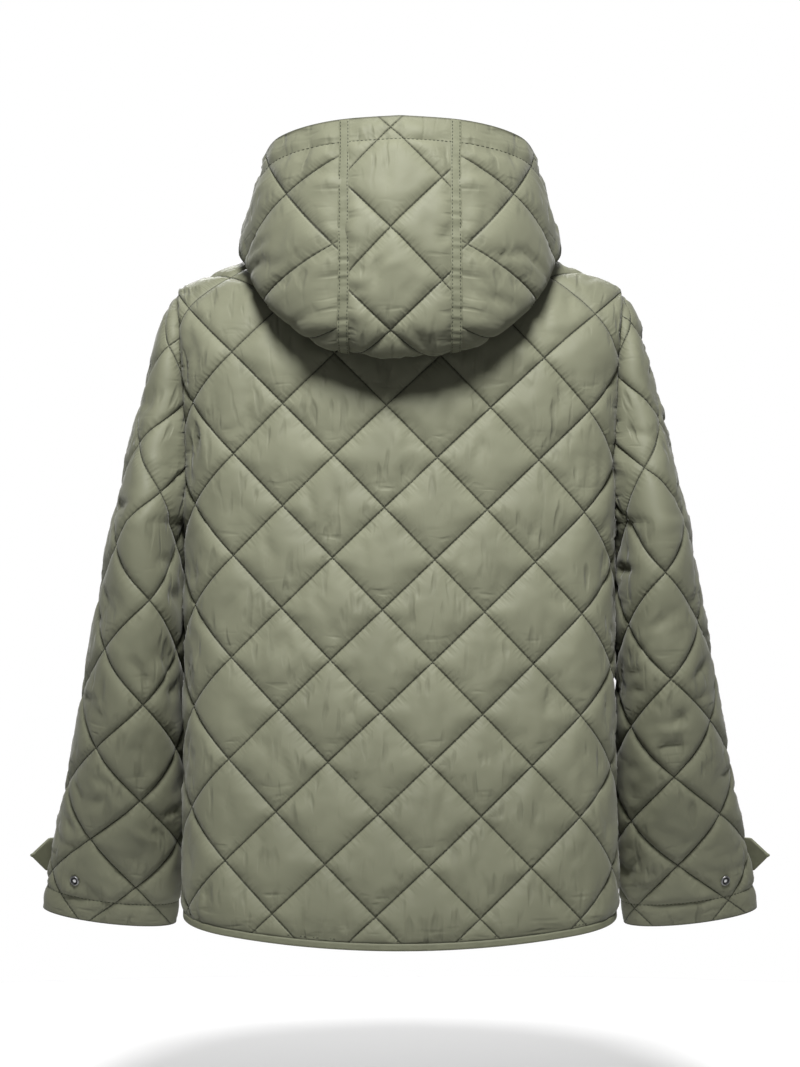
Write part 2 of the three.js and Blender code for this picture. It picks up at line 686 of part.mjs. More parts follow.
// The sleeve's seam points are laid once and used for both of its edges.
function sleeveOutline() {
  const underarmUp = sleeveUp(UNDERARM);
  const cuff = side(ringHalf(0, -1) + ringHalf(0, 1), (t) => [
    -ringHalf(0, -1) + t * (ringHalf(0, -1) + ringHalf(0, 1)),
    0,
  ]);
  const seamUps = side(underarmUp, (t) => underarmUp * t);
  const capShares = side(290, (t) => t).slice(1);
  const cap = (half, sign) =>
    capShares.map((share) => {
      const [across, up] = armholeEdge(half, share);
      const point = bodySpot(half, 1, across, up);
      const cloth = sleeveUp(Math.min(point.z, SHOULDER_TIP - 0.5));
      return { at: [sign * ringHalf(cloth, sign), cloth] };
    });
  const rows = [...seamUps, underarmUp];
  return [
    ...cuff.map((at, i) => (i ? { at } : { at, place: [ringHalf(0, 1), 0], seam: 0 })),
    ...rows.map((up, i) => ({ at: [ringHalf(up, 1), up], seam: i })),
    ...cap(backPlan, 1),
    { at: [0, outerLine.total - 1] },
    ...cap(frontPlan, -1).reverse(),
    ...rows
      .slice(1)
      .map((up, i) => ({ at: [-ringHalf(up, -1), up], place: [ringHalf(up, 1), up], seam: i + 1 }))
      .reverse(),
  ];
}

function hoodOutline(from, to) {
  const across = to - from;
  const edge = side(across, (t) => [from + across * t, 0]);
  const neck = side(across * 0.8, (t) => [to - across * t, -hoodLength(to - across * t)]);
  const down = (s, upwards) => {
    const line = side(hoodLength(s), (t) => [s, -hoodLength(s) * (upwards ? 1 - t : t)]);
    return line;
  };
  return plain([...edge, ...down(to, false), ...neck, ...down(from, true)]).reverse();
}

const frontHeights = () => {
  const [low, top] = [HEM_FRONT + BINDING + SEAM_GAP, neckEdge(frontPlan, NECK_FRONT, 1)[1] - gap];
  return [...side(top - 10 - low, (t) => low + (top - 10 - low) * t), top - 10, top];
};

// The share of the wadding left near the foot of the armhole, where body and sleeve touch.
const nearUnderarm = (half) => ([across, up]) =>
  Math.min(1, Math.hypot(Math.abs(across) - half.side, up - UNDERARM) / UNDERARM_FADE);

// Materials: satin-faced shell cloth, and gunmetal studs
const cloth = new THREE.MeshStandardMaterial({ color: 0x7d8068, roughness: 0.55, metalness: 0 });
const trim = new THREE.MeshStandardMaterial({ color: 0x74775f, roughness: 0.6, metalness: 0 });
const metal = new THREE.MeshStandardMaterial({ color: 0x55565a, roughness: 0.3, metalness: 0.9 });

const jacket = new THREE.Group();

function add(name, geometry, material) {
  geometry.computeVertexNormals();
  const mesh = new THREE.Mesh(geometry, material);
  mesh.name = name;
  jacket.add(mesh);
  return mesh;
}

// A press stud's cap: a shallow dome on a flat foot, its foot at the origin, pointing up +Y.
function studGeometry() {
  const profile = [
    [0, 0],
    [STUD_RADIUS - 0.6, 0],
    [STUD_RADIUS, 0.8],
    [STUD_RADIUS * 0.82, 1.9],
    [STUD_RADIUS * 0.4, STUD_HEIGHT],
    [0, STUD_HEIGHT],
  ].map(([x, y]) => new THREE.Vector2(x, y));
  return new THREE.LatheGeometry(profile, 12);
}

function addStud(name, foot, outwards) {
  const stud = add(name, studGeometry(), metal);
  stud.position.copy(foot);
  stud.quaternion.setFromUnitVectors(new THREE.Vector3(0, 1, 0), outwards.clone().normalize());
  return stud;
}

// Body panels

add(
  "back",
  quiltedPanel({
    outline: backOutline(),
    quilt: QUILTS.back,
    form: onBack,
    facing: -1,
    thin: nearUnderarm(backPlan),
  }),
  cloth,
);

const frontShape = frontOutline();
const bedLine = frontHeights().map((up) => [PLACKET_BED, up]);
const frontWadding = nearUnderarm(frontPlan);
for (const [name, mirrored] of [
  ["front_left", false],
  ["front_right", true],
]) {
  add(
    name,
    quiltedPanel({
      outline: frontShape,
      quilt: QUILTS.front,
      form: onFront,
      stitches: [bedLine],
      thin: (point) => (point[0] < PLACKET_BED ? 0 : frontWadding(point)),
      mirrored,
    }),
    cloth,
  );
}

// Placket: a strip over the meeting fronts, with a row of studs
const placketRows = frontHeights().slice(0, -1);
const [placketLow, placketHigh] = [placketRows[0], placketRows[placketRows.length - 1]];
add(
  "placket",
  ribbon(
    placketRows.map((up) => [
      onFront(PLACKET_HALF, up, PLACKET_LIFT),
      onFront(0, up, PLACKET_LIFT),
      onFront(-PLACKET_HALF, up, PLACKET_LIFT),
      onFront(-PLACKET_HALF, up, PLACKET_LIFT + PLACKET_WALL),
      onFront(0, up, PLACKET_LIFT + PLACKET_WALL),
      onFront(PLACKET_HALF, up, PLACKET_LIFT + PLACKET_WALL),
    ]),
  ),
  trim,
);
for (let i = 0; i < FRONT_STUDS; i++) {
  const up = placketLow + 40 + ((placketHigh - placketLow - 60) * i) / (FRONT_STUDS - 1);
  const foot = onFront(0, up, PLACKET_LIFT + PLACKET_WALL + SEAM_GAP);
  addStud(`stud_front_${i + 1}`, foot, onFront(0, up, 20).sub(foot));
}

// Hem binding: a narrow folded strip all round the bottom edge
const bindingSpots = [
  ...side(frontPlan.side, (t) => [onFront, frontPlan, HEM_FRONT, 1 + (frontPlan.side - 1) * t, 1]),
  ...side(2 * backPlan.side, (t) => [onBack, backPlan, HEM_BACK, backPlan.side * (1 - 2 * t), 1]),
  ...side(frontPlan.side, (t) => [onFront, frontPlan, HEM_FRONT, -frontPlan.side * (1 - t) - t, 1]),
  [onFront, frontPlan, HEM_FRONT, -1, 1],
];
const bindingSection = [
  { up: 0.5, out: -WALL - 0.8 },
  { up: BINDING, out: -WALL - 1 },
  { up: BINDING, out: 1 },
  { up: 0.5, out: 0.8 },
];
add(
  "hem_binding",
  ribbon(
    bindingSpots.map(([form, half, middle, across]) =>
      bindingSection.map(({ up, out }) => form(across, hemUp(half, middle, across) + up, out)),
    ),
  ),
  trim,
);

// Sleeves
const sleeveShape = sleeveOutline();
const underarmRows = sleeveShape.filter(({ seam }) => seam !== undefined).length / 2;
const sewnSeam = (a, b) => {
  const [p, q] = [sleeveShape[a], sleeveShape[b]];
  return p.seam !== undefined && q.seam !== undefined && Math.abs(p.seam - q.seam) === 1;
};
const underarmUp = sleeveUp(UNDERARM);
const awayFromUnderarm = ([across, up]) =>
  Math.min(1, Math.hypot(Math.abs(across) - ringHalf(underarmUp, across), up - underarmUp) / UNDERARM_FADE);
const cuffHem = side(ringHalf(TURNED_HEM, -1) + ringHalf(TURNED_HEM, 1), (t) => [
  -ringHalf(TURNED_HEM, -1) + t * (ringHalf(TURNED_HEM, -1) + ringHalf(TURNED_HEM, 1)),
  TURNED_HEM,
]);
for (const [hand, mirrored] of [
  ["left", false],
  ["right", true],
]) {
  const handed = (v) => (mirrored ? v.setX(-v.x) : v);
  add(
    `sleeve_${hand}`,
    quiltedPanel({
      outline: sleeveShape,
      quilt: QUILTS[`sleeve_${hand}`],
      form: onSleeve,
      stitches: [cuffHem],
      thin: awayFromUnderarm,
      studs: [[CUFF_STUD.across, CUFF_STUD.up]],
      sewn: sewnSeam,
      mirrored,
    }),
    cloth,
  );
  const studFoot = onSleeve(CUFF_STUD.across, CUFF_STUD.up, STUD_PAD_PUFF + SEAM_GAP);
  const studTop = onSleeve(CUFF_STUD.across, CUFF_STUD.up, 20).sub(studFoot.clone());
  addStud(`stud_cuff_${hand}`, handed(studFoot), handed(studTop));

  // The tab lies on the front of the cuff, then stands off straight where the sleeve turns away.
  const lift = PUFF + SEAM_GAP;
  const leave = onSleeve(TAB.leaves, TAB.up, lift);
  const away = leave.clone().sub(onSleeve(TAB.leaves - 2, TAB.up, lift)).normalize();
  const square = onSleeve(TAB.leaves, TAB.up, lift + 1).sub(leave);
  const upward = onSleeve(TAB.leaves, TAB.up + 1, lift).sub(leave).normalize();
  const tabSpot = (along, rise, out) => {
    const across = TAB.start + along;
    if (across <= TAB.leaves) return onSleeve(across, TAB.up + rise, lift + out);
    return leave
      .clone()
      .addScaledVector(away, across - TAB.leaves)
      .addScaledVector(upward, rise)
      .addScaledVector(square, out);
  };
  const tabLength = TAB.leaves - TAB.start + TAB.free;
  const tabRows = [...side(tabLength - TAB.point, (t) => (tabLength - TAB.point) * t), tabLength - TAB.point, tabLength];
  add(
    `tab_${hand}`,
    ribbon(
      tabRows.map((along) => {
        const half = along > tabLength - 1 ? 1 : TAB.half;
        return [
          tabSpot(along, -half, 0),
          tabSpot(along, half, 0),
          tabSpot(along, half, TAB.wall),
          tabSpot(along, -half, TAB.wall),
        ];
      }),
      mirrored,
    ),
    trim,
  );
  const tabFoot = tabSpot(tabLength - TAB.point - TAB.stud / 4, 0, TAB.wall + SEAM_GAP);
  const tabTop = tabSpot(tabLength - TAB.point - TAB.stud / 4, 0, TAB.wall + 20).sub(tabFoot.clone());
  addStud(`stud_tab_${hand}`, handed(tabFoot), handed(tabTop));
}

// Hood
const faceHem = (from, to) => side(to - from, (t) => [from + (to - from) * t, -TURNED_HEM]);
add(
  "hood_centre",
  quiltedPanel({
    outline: hoodOutline(-HOOD_STRIP + gap, HOOD_STRIP - gap),
    quilt: QUILTS.hood_centre,
    form: onHood,
    facing: -1,
    stitches: [faceHem(-HOOD_STRIP, HOOD_STRIP)],
  }),
  cloth,
);
for (const [hand, mirrored] of [
  ["left", false],
  ["right", true],
]) {
  add(
    `hood_side_${hand}`,
    quiltedPanel({
      outline: hoodOutline(HOOD_STRIP + gap, HOOD_ACROSS),
      quilt: QUILTS.hood_side,
      form: onHood,
      facing: -1,
      stitches: [faceHem(HOOD_STRIP, HOOD_ACROSS)],
      mirrored,
    }),
    cloth,
  );
}

export default jacket;
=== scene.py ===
# %% [markdown]
# # A hooded quilted jacket
#
# The solids of the jacket are loaded as a fixed frame. Each sewn panel then gets a finer cloth: it is
# cut flat, quilted in diamonds, laid on the form that the solid has, and blown up a little by a cloth
# simulation while its stitched lines are held. Threads, binding, tabs and studs follow.
#
# Sizes in the tables and functions are in millimetres, as a pattern maker writes them. Meshes are
# turned into metres when they are made.

# %% Load the frame
import math

import bmesh
import bpy
import numpy as np
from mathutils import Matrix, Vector
from mathutils.geometry import delaunay_2d_cdt


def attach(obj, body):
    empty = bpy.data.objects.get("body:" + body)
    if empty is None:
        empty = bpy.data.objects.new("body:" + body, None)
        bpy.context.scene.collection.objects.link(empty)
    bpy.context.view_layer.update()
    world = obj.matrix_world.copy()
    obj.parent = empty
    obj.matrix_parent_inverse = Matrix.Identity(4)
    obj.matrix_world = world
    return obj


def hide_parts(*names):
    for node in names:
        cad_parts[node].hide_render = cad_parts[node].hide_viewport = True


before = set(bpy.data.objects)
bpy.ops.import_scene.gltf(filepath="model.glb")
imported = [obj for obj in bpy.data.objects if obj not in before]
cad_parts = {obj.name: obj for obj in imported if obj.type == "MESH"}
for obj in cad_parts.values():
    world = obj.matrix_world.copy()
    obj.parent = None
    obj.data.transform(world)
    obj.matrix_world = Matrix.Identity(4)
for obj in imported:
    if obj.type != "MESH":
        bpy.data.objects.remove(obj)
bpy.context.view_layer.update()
MM = 0.001

# %% [markdown]
# ## The form
#
# The jacket was photographed filled out, so its body is a rounded box in plan whose back and front
# bend over to the shoulder line, its sleeves are ovals that swing forward, and its hood is a bowl that
# hangs behind the neck. One could model these by hand and project the quilting on them. Here a function
# per part turns cloth coordinates (across, up) into a point, so that the quilting can be drawn on flat
# cloth as it was sewn, and the diamonds bend round the body without being stretched.

# %% Sizes
WALL = 3.0
PUFF = 7.0
SEAM_GAP = 0.3
QUILT_PITCH = 99.5
TURNED_HEM = 25.0

HALF_WIDTH = 208.5
FLAT_SIDE = 40.0
BACK_DEPTH, BACK_CORNER = 130.0, 66.0
FRONT_DEPTH, FRONT_CORNER = 118.0, 56.0
RIDGE_TOP, RIDGE_DROP, RIDGE_REACH, RIDGE_POWER = 31.0, 68.0, 226.0, 1.7
NECK_HALF_WIDTH, NECK_BACK, NECK_FRONT = 90.0, 89.0, 106.0
HEM_BACK, HEM_SIDE, HEM_FRONT = -675.0, -639.0, -652.0
BINDING = 8.0
UNDERARM, ARMHOLE_CURVE, ARMHOLE_INSET, ROUNDED_OVER = -255.0, 75.0, 53.0, 160.0
CUFF_LEVEL, SHOULDER_TIP = -657.0, -31.0
HOOD_STRIP, HOOD_FRONT_GAP, HOOD_ACROSS = 54.0, 6.0, 345.0

# height, how much wider the body is there
BODY_WIDTHS = [
    (-700, 1.032), (-640, 1.026), (-540, 1.012), (-440, 1.006), (-300, 1.004), (-232, 1.01),
    (-182, 1.017), (-103, 1.036), (-55, 1.052), (-20, 1.072),
]
# height, outer edge, inner edge, half depth, swung forward, leaning out, nodding forward
SLEEVE_RINGS = [
    (-31, 221, 209.5, 0, 0, 0, 0),
    (-45, 229, 209.5, 34, 0, 0, 0),
    (-60, 235, 209.5, 45, 0, 0, 0),
    (-100, 245, 209.5, 60, 0, 0, 0),
    (-140, 256, 209.5, 66, 0, 0, 0),
    (-180, 266, 209.5, 75, 0, 0, 0),
    (-220, 275, 209.5, 86, 0, 0, 0),
    (-255, 283, 211.5, 92, 0, 0, 0),
    (-280, 288, 217, 90, 1, 0.5, 1.5),
    (-310, 294, 219, 88, 5, 1.5, 4),
    (-380, 307, 219, 81, 14, 3, 8),
    (-460, 322, 219, 71, 31, 4.5, 11),
    (-540, 338, 219.5, 59, 55, 6, 12),
    (-610, 354, 222, 47, 80, 6.5, 11),
    (-657, 365, 228, 39, 95, 6.5, 10),
]
# angle from the nape, then how far out and how high each loop is: neck, roll, under, fold, swell,
# widest, shoulder, brow, edge
HOOD_COLUMNS = [
    (0, [0, 117, 148, 173, 197, 209, 207, 196, 184], [0, 2, -42, -96, -76, -20, 48, 102, 133]),
    (22, [0, 115, 146, 173, 195, 205, 202, 190, 179], [0, 7, -36, -90, -73, -20, 44, 98, 129]),
    (45, [0, 113, 142, 170, 184, 190, 184, 174, 166], [0, 20, -8, -48, -45, -11, 38, 87, 118]),
    (57, [0, 111, 138, 162, 173, 176, 170, 162, 156], [0, 28, 15, -8, -16, -5, 38, 78, 107]),
    (68, [0, 110, 136, 158, 167, 168, 160, 152, 146], [0, 30, 21, 5, 1, 7, 38, 70, 94]),
    (90, [0, 108, 128, 144, 151, 151, 147, 142, 137], [0, 36, 36, 29, 29, 33, 46, 60, 71]),
    (115, [0, 106, 121, 131, 137, 138, 136, 132, 128], [0, 24, 26, 22, 24, 27, 36, 44, 50]),
    (145, [0, 115, 122, 128, 131, 132, 131, 129, 127], [0, -7, -4, -4, 0, 5, 12, 19, 25]),
    (180, [0, 113, 117, 120, 121, 122, 121, 120, 119], [0, -33, -31, -28, -24, -19, -13, -7, -1]),
]
# where a crossing of the quilting lies on each panel, and how far the lines are turned, in degrees
QUILTS = {
    "back": (17, -343, 1.2),
    "front": (0, -343, 0),
    "sleeve_left": (112, 45, 0),
    "sleeve_right": (97, 70, 0),
    "hood_centre": (9, -112, 0),
    "hood_side": (100, -66, 12),
}


# %% Curves through tables
def curve(keys, values):
    """A smooth curve through a table, the same as the one that the solids were made with."""
    order = np.argsort(keys)
    k, v = np.array(keys, float)[order], np.array(values, float)[order]
    before, after = np.r_[0, np.arange(len(k) - 1)], np.r_[np.arange(1, len(k)), len(k) - 1]
    slope = (v[after] - v[before]) / (k[after] - k[before])

    def at(x):
        x = np.clip(np.asarray(x, float), k[0], k[-1])
        i = np.clip(np.searchsorted(k, x, side="right") - 1, 0, len(k) - 2)
        span = k[i + 1] - k[i]
        t = (x - k[i]) / span
        ease = t * t * (3 - 2 * t)
        bend = slope[i] * t * (1 - t) ** 2 - slope[i + 1] * t * t * (1 - t)
        return v[i] * (1 - ease) + v[i + 1] * ease + span * bend

    return at


def pack(x, y, z):
    return np.stack(np.broadcast_arrays(x, y, z), axis=-1)


def unit(v):
    return v / np.maximum(np.linalg.norm(v, axis=-1, keepdims=True), 1e-12)


body_scale = curve(*zip(*BODY_WIDTHS))
ring_value = {
    name: curve([row[0] for row in SLEEVE_RINGS], [row[i + 1] for row in SLEEVE_RINGS])
    for i, name in enumerate(["outer", "inner", "depth", "forward", "lean", "nod"])
}
print("width", float(2 * HALF_WIDTH * body_scale(-300)), "mm at the chest")


# %% Body
class Plan:
    """A quarter of the body's plan: a shallow arc, a corner arc, then the flat strip under the arm."""

    def __init__(self, depth, corner, facing):
        self.depth, self.corner, self.facing = depth, corner, facing
        rise, reach = depth - FLAT_SIDE, HALF_WIDTH - corner
        self.shallow = (reach**2 + rise**2 - corner**2) / (2 * (rise - corner))
        self.turned = math.atan2(reach, self.shallow - rise)
        self.first = self.shallow * self.turned
        self.second = self.first + corner * (math.pi / 2 - self.turned)
        self.side = self.second + FLAT_SIDE

    def at(self, across):
        s = np.abs(across)
        on_first = s < self.first
        heading = np.where(
            on_first, s / self.shallow,
            np.minimum(self.turned + (s - self.first) / self.corner, math.pi / 2),
        )
        turned_x = self.shallow * math.sin(self.turned)
        turned_y = self.depth - self.shallow * (1 - math.cos(self.turned))
        x = np.where(
            on_first, self.shallow * np.sin(heading),
            turned_x + self.corner * (np.sin(heading) - math.sin(self.turned)),
        )
        y = np.where(
            on_first, self.depth - self.shallow * (1 - np.cos(heading)),
            turned_y - self.corner * (math.cos(self.turned) - np.cos(heading)),
        )
        return np.sign(across) * x, y - np.maximum(s - self.second, 0)

    def spot(self, across, up):
        x, y = self.at(across)
        bend = np.maximum(y, 1)
        start = ridge_height(x) - bend
        turn = np.maximum(up - start, 0) / bend
        z = np.where(up < start, up, start + bend * np.sin(turn))
        return pack(x * body_scale(z), self.facing * np.where(up < start, y, bend * np.cos(turn)), z)

    def __call__(self, across, up, out):
        return moved_out(self.spot, across, up, out, -self.facing)

    def up_at_depth(self, across, depth):
        x, y = self.at(across)
        return ridge_height(x) - y + y * np.arccos(np.clip(depth / y, 0, 1))


def ridge_height(x):
    return RIDGE_TOP - RIDGE_DROP * (np.abs(x) / RIDGE_REACH) ** RIDGE_POWER


def moved_out(spot, a, b, out, facing, step=2.0):
    along = spot(a + step, b) - spot(a - step, b)
    rise = spot(a, b + step) - spot(a, b - step)
    return spot(a, b) + unit(np.cross(along, rise)) * facing * np.asarray(out)[..., None]


back_form = Plan(BACK_DEPTH, BACK_CORNER, 1)
front_form = Plan(FRONT_DEPTH, FRONT_CORNER, -1)


def neck_edge(plan, depth, share):
    """Neck edge from the shoulder seam (0) to the middle (1)."""
    angle = np.asarray(share, float) * math.pi / 2
    x = NECK_HALF_WIDTH * np.cos(angle)
    across = x.copy()
    for _ in range(6):
        across = across + x - plan.at(across)[0]
    return across, plan.up_at_depth(across, depth * np.sin(angle))


def armhole_edge(plan, share):
    """Armhole from the underarm (0) to the shoulder tip (1)."""
    inner = plan.side - ARMHOLE_INSET
    top = float(plan.up_at_depth(np.array(inner), 0.0))
    straight = top - UNDERARM - ARMHOLE_CURVE
    bottom = math.pi / 4 * (ARMHOLE_CURVE + ARMHOLE_INSET)
    gone = np.asarray(share, float) * (bottom + straight)
    angle = math.pi / 2 * np.minimum(gone / bottom, 1)
    across = plan.side - ARMHOLE_INSET * np.sin(angle)
    up = UNDERARM + ARMHOLE_CURVE * (1 - np.cos(angle)) + np.maximum(gone - bottom, 0)
    return across, up


def hem_up(plan, middle, across):
    return middle + (HEM_SIDE - middle) * (across / plan.side) ** 2


print("half girths", round(back_form.side, 1), round(front_form.side, 1))


# %% Sleeve
def armhole_at(plan, z):
    inner = plan.side - ARMHOLE_INSET
    sunk = np.clip((UNDERARM + ARMHOLE_CURVE - z) / ARMHOLE_CURVE, 0, 1)
    low = plan.spot(plan.side - ARMHOLE_INSET * np.sqrt(1 - sunk**2), z)
    x, y = plan.at(np.array(inner))
    start = ridge_height(x) - y
    turn = np.arcsin(np.clip((z - start) / y, 0, 1))
    high = plan.spot(np.full_like(z, inner), np.where(z < start, z, start + y * turn))
    return np.where((z <= UNDERARM + ARMHOLE_CURVE)[..., None], low, high)


def sleeve_spot(turn, z):
    """A point of the left sleeve. turn is 0 at the seam under the arm and 1 at the outer line, over the
    back; it is below 0 over the front."""
    turn, z = np.broadcast_arrays(np.asarray(turn, float), np.asarray(z, float))
    back, t = turn >= 0, np.abs(turn)
    seam = np.where(back[..., None], armhole_at(back_form, z), armhole_at(front_form, z))
    closed = z <= UNDERARM
    r = np.clip((UNDERARM + ARMHOLE_CURVE - z) / ROUNDED_OVER, 0, 1)
    rounded = r * r * (3 - 2 * r)
    outer, inner = ring_value["outer"](z), ring_value["inner"](z)
    start = np.where(closed, inner, seam[..., 0] + SEAM_GAP)
    seam_depth = np.where(closed, 0, np.abs(seam[..., 1]))
    bulge = np.maximum(ring_value["depth"](z) - 0.75 * seam_depth, 0)
    opened = np.sin(t * math.pi / 2)
    x = start + (outer - start) * (opened * (1 - rounded) + (1 - np.cos(t * math.pi)) / 2 * rounded)
    y = seam_depth * np.cos(t * math.pi / 2) + bulge * np.sin(t * math.pi)
    y = np.where(back, y, -y)
    middle = (outer + inner) / 2
    lean, nod = np.radians(ring_value["lean"](z)), np.radians(ring_value["nod"](z))
    return pack(
        middle + (x - middle) * np.cos(lean),
        y * np.cos(nod) - ring_value["forward"](z),
        z + (x - middle) * np.sin(lean) - y * np.sin(nod),
    )


LEVELS, RING_STEPS = 626, 96
level_z = np.linspace(CUFF_LEVEL, SHOULDER_TIP, LEVELS + 1)
outer_line = sleeve_spot(np.ones(LEVELS + 1), level_z)
level_up = np.r_[0, np.cumsum(np.linalg.norm(np.diff(outer_line, axis=0), axis=1))]
SLEEVE_LENGTH = float(level_up[-1])


def ring_table(sign):
    """For each level, the cloth length from the outer line at each step round half of the ring."""
    turns = np.maximum(1 - np.arange(RING_STEPS + 1) / RING_STEPS, 1e-9) * sign
    points = sleeve_spot(turns[None, :], level_z[:, None])
    steps = np.linalg.norm(np.diff(points, axis=1), axis=2)
    return np.concatenate([np.zeros((LEVELS + 1, 1)), np.cumsum(steps, axis=1)], axis=1)


ring_tables = {1: ring_table(1), -1: ring_table(-1)}


def ring_half(up, sign):
    rows = np.interp(up, level_up, np.arange(LEVELS + 1))
    return np.interp(rows, np.arange(LEVELS + 1), ring_tables[sign][:, -1])


def sleeve_turn(across, up):
    """Where a point of the flat sleeve is on its form: (turn, height)."""
    across, up = np.broadcast_arrays(np.asarray(across, float), np.asarray(up, float))
    rows = np.interp(up, level_up, np.arange(LEVELS + 1))
    low = np.clip(rows.astype(int), 0, LEVELS - 1)
    blend = (rows - low)[..., None]
    turn = np.zeros(across.shape)
    for sign in (1, -1):
        table = ring_tables[sign]
        lengths = table[low] * (1 - blend) + table[low + 1] * blend
        s = np.abs(across)[..., None]
        i = np.clip((lengths < s).sum(axis=-1), 1, RING_STEPS)
        a = np.take_along_axis(lengths, i[..., None] - 1, -1)[..., 0]
        b = np.take_along_axis(lengths, i[..., None], -1)[..., 0]
        place = i - 1 + np.clip((s[..., 0] - a) / np.maximum(b - a, 1e-9), 0, 1)
        side = across >= 0 if sign > 0 else across < 0
        turn = np.where(side, sign * np.maximum(1 - place / RING_STEPS, 1e-9), turn)
    return turn, np.interp(rows, np.arange(LEVELS + 1), level_z)


LEAN, LEAN_LEVEL, LEAN_REACH = 3.4, -312.0, 70.0


def sleeve_form(across, up, out):
    turn, z = sleeve_turn(across, up)
    # below the armhole the sleeve's inner side hangs against the body
    inner = np.clip(1.6 - 2 * np.abs(turn), 0, 1)
    lean = LEAN * inner * np.exp(-(((z - LEAN_LEVEL) / LEAN_REACH) ** 2))
    # a runs through the outer line: below 0 over the front, above 0 over the back
    a = np.sign(turn) * np.minimum(1 - np.abs(turn), 0.998)

    def spot(a, z):
        return sleeve_spot(np.where(a >= 0, 1, -1) * np.maximum(1 - np.abs(a), 1e-9), z)

    level = np.clip(z, CUFF_LEVEL + 1, SHOULDER_TIP - 1.5)
    along = spot(a + 0.002, level) - spot(a - 0.002, level)
    rise = spot(a, level + 1) - spot(a, level - 1)
    place = sleeve_spot(turn, z) + unit(np.cross(along, rise)) * np.asarray(out)[..., None]
    return place - lean[..., None] * np.array([1.0, 0, 0])


def sleeve_up(z):
    return np.interp(z, level_z, level_up)


print("sleeve", round(SLEEVE_LENGTH), "mm long, cuff", round(float(ring_half(0, 1) + ring_half(0, -1))))


# %% Hood
def neck_point(degrees):
    behind = degrees <= 90
    share = np.where(behind, 1 - degrees / 90, degrees / 90 - 1)
    back = back_form.spot(*neck_edge(back_form, NECK_BACK, share))
    front = front_form.spot(*neck_edge(front_form, NECK_FRONT, share))
    return np.where(behind[..., None], back, front)


LOOP_STEPS, COLUMN_STEPS = 120, 60
hood_degrees = np.linspace(0, 180, LOOP_STEPS + 1)
hood_loops = []
for loop in range(9):
    if loop == 0:
        points = neck_point(hood_degrees) + [0, 0, SEAM_GAP + WALL]
    else:
        keys = [row[0] for row in HOOD_COLUMNS]
        out_at = curve(keys, [row[1][loop] for row in HOOD_COLUMNS])(hood_degrees)
        up_at = curve(keys, [row[2][loop] for row in HOOD_COLUMNS])(hood_degrees)
        angle = np.radians(hood_degrees)
        points = pack(out_at * np.sin(angle), out_at * np.cos(angle), up_at)
    hood_loops.append(points)


def along_line(points, distances):
    lengths = np.r_[0, np.cumsum(np.linalg.norm(np.diff(points, axis=0), axis=1))]
    return np.stack([np.interp(distances, lengths, points[:, k]) for k in range(3)], axis=-1)


def line_length(points):
    return float(np.linalg.norm(np.diff(points, axis=0), axis=1).sum())


def catmull_rom(posts, count):
    """Centripetal curve through posts, an array (posts, columns, 3)."""
    first, last = 2 * posts[0] - posts[1], 2 * posts[-1] - posts[-2]
    p = np.concatenate([first[None], posts, last[None]])
    made = []
    for n in range(count + 1):
        place = n / count * (len(posts) - 1)
        i = min(int(place), len(posts) - 2)
        t = place - i
        x0, x1, x2, x3 = p[i], p[i + 1], p[i + 2], p[i + 3]
        d0, d1, d2 = (
            np.maximum(np.sqrt(np.linalg.norm(b - a, axis=-1, keepdims=True)), 1e-4)
            for a, b in ((x0, x1), (x1, x2), (x2, x3))
        )
        t1 = ((x1 - x0) / d0 - (x2 - x0) / (d0 + d1) + (x2 - x1) / d1) * d1
        t2 = ((x2 - x1) / d1 - (x3 - x1) / (d1 + d2) + (x3 - x2) / d2) * d1
        made.append(
            x1 + t1 * t + (-3 * x1 + 3 * x2 - 2 * t1 - t2) * t**2 + (2 * x1 - 2 * x2 + t1 + t2) * t**3
        )
    return np.array(made)


HOOD_GRID, HOOD_SHARES = 346, 241
hood_s = np.linspace(0, HOOD_ACROSS, HOOD_GRID)
in_strip = hood_s <= HOOD_STRIP
hood_posts = []
for points in reversed(hood_loops):
    total = line_length(points)
    share = (hood_s - HOOD_STRIP) / (HOOD_ACROSS - HOOD_STRIP)
    spread = HOOD_STRIP + (total - HOOD_FRONT_GAP - HOOD_STRIP) * share
    hood_posts.append(along_line(points, np.where(in_strip, hood_s, spread)))
hood_lines = catmull_rom(np.array(hood_posts), COLUMN_STEPS * 4)
hood_lengths = np.array([line_length(hood_lines[:, i]) for i in range(HOOD_GRID)])
hood_grid = np.stack(
    [
        along_line(hood_lines[:, i], np.linspace(0, hood_lengths[i], HOOD_SHARES))
        for i in range(HOOD_GRID)
    ]
)


def hood_length(across):
    return np.interp(np.abs(across), hood_s, hood_lengths)


def hood_spot(across, share):
    i = np.clip(np.abs(across) / HOOD_ACROSS * (HOOD_GRID - 1), 0, HOOD_GRID - 1.001)
    j = np.clip(share * (HOOD_SHARES - 1), 0, HOOD_SHARES - 1.001)
    i0, j0 = i.astype(int), j.astype(int)
    a, b = (i - i0)[..., None], (j - j0)[..., None]
    low = hood_grid[i0, j0] * (1 - a) + hood_grid[i0 + 1, j0] * a
    high = hood_grid[i0, j0 + 1] * (1 - a) + hood_grid[i0 + 1, j0 + 1] * a
    point = low * (1 - b) + high * b
    return point * pack(np.where(across < 0, -1, 1), 1.0, 1.0)


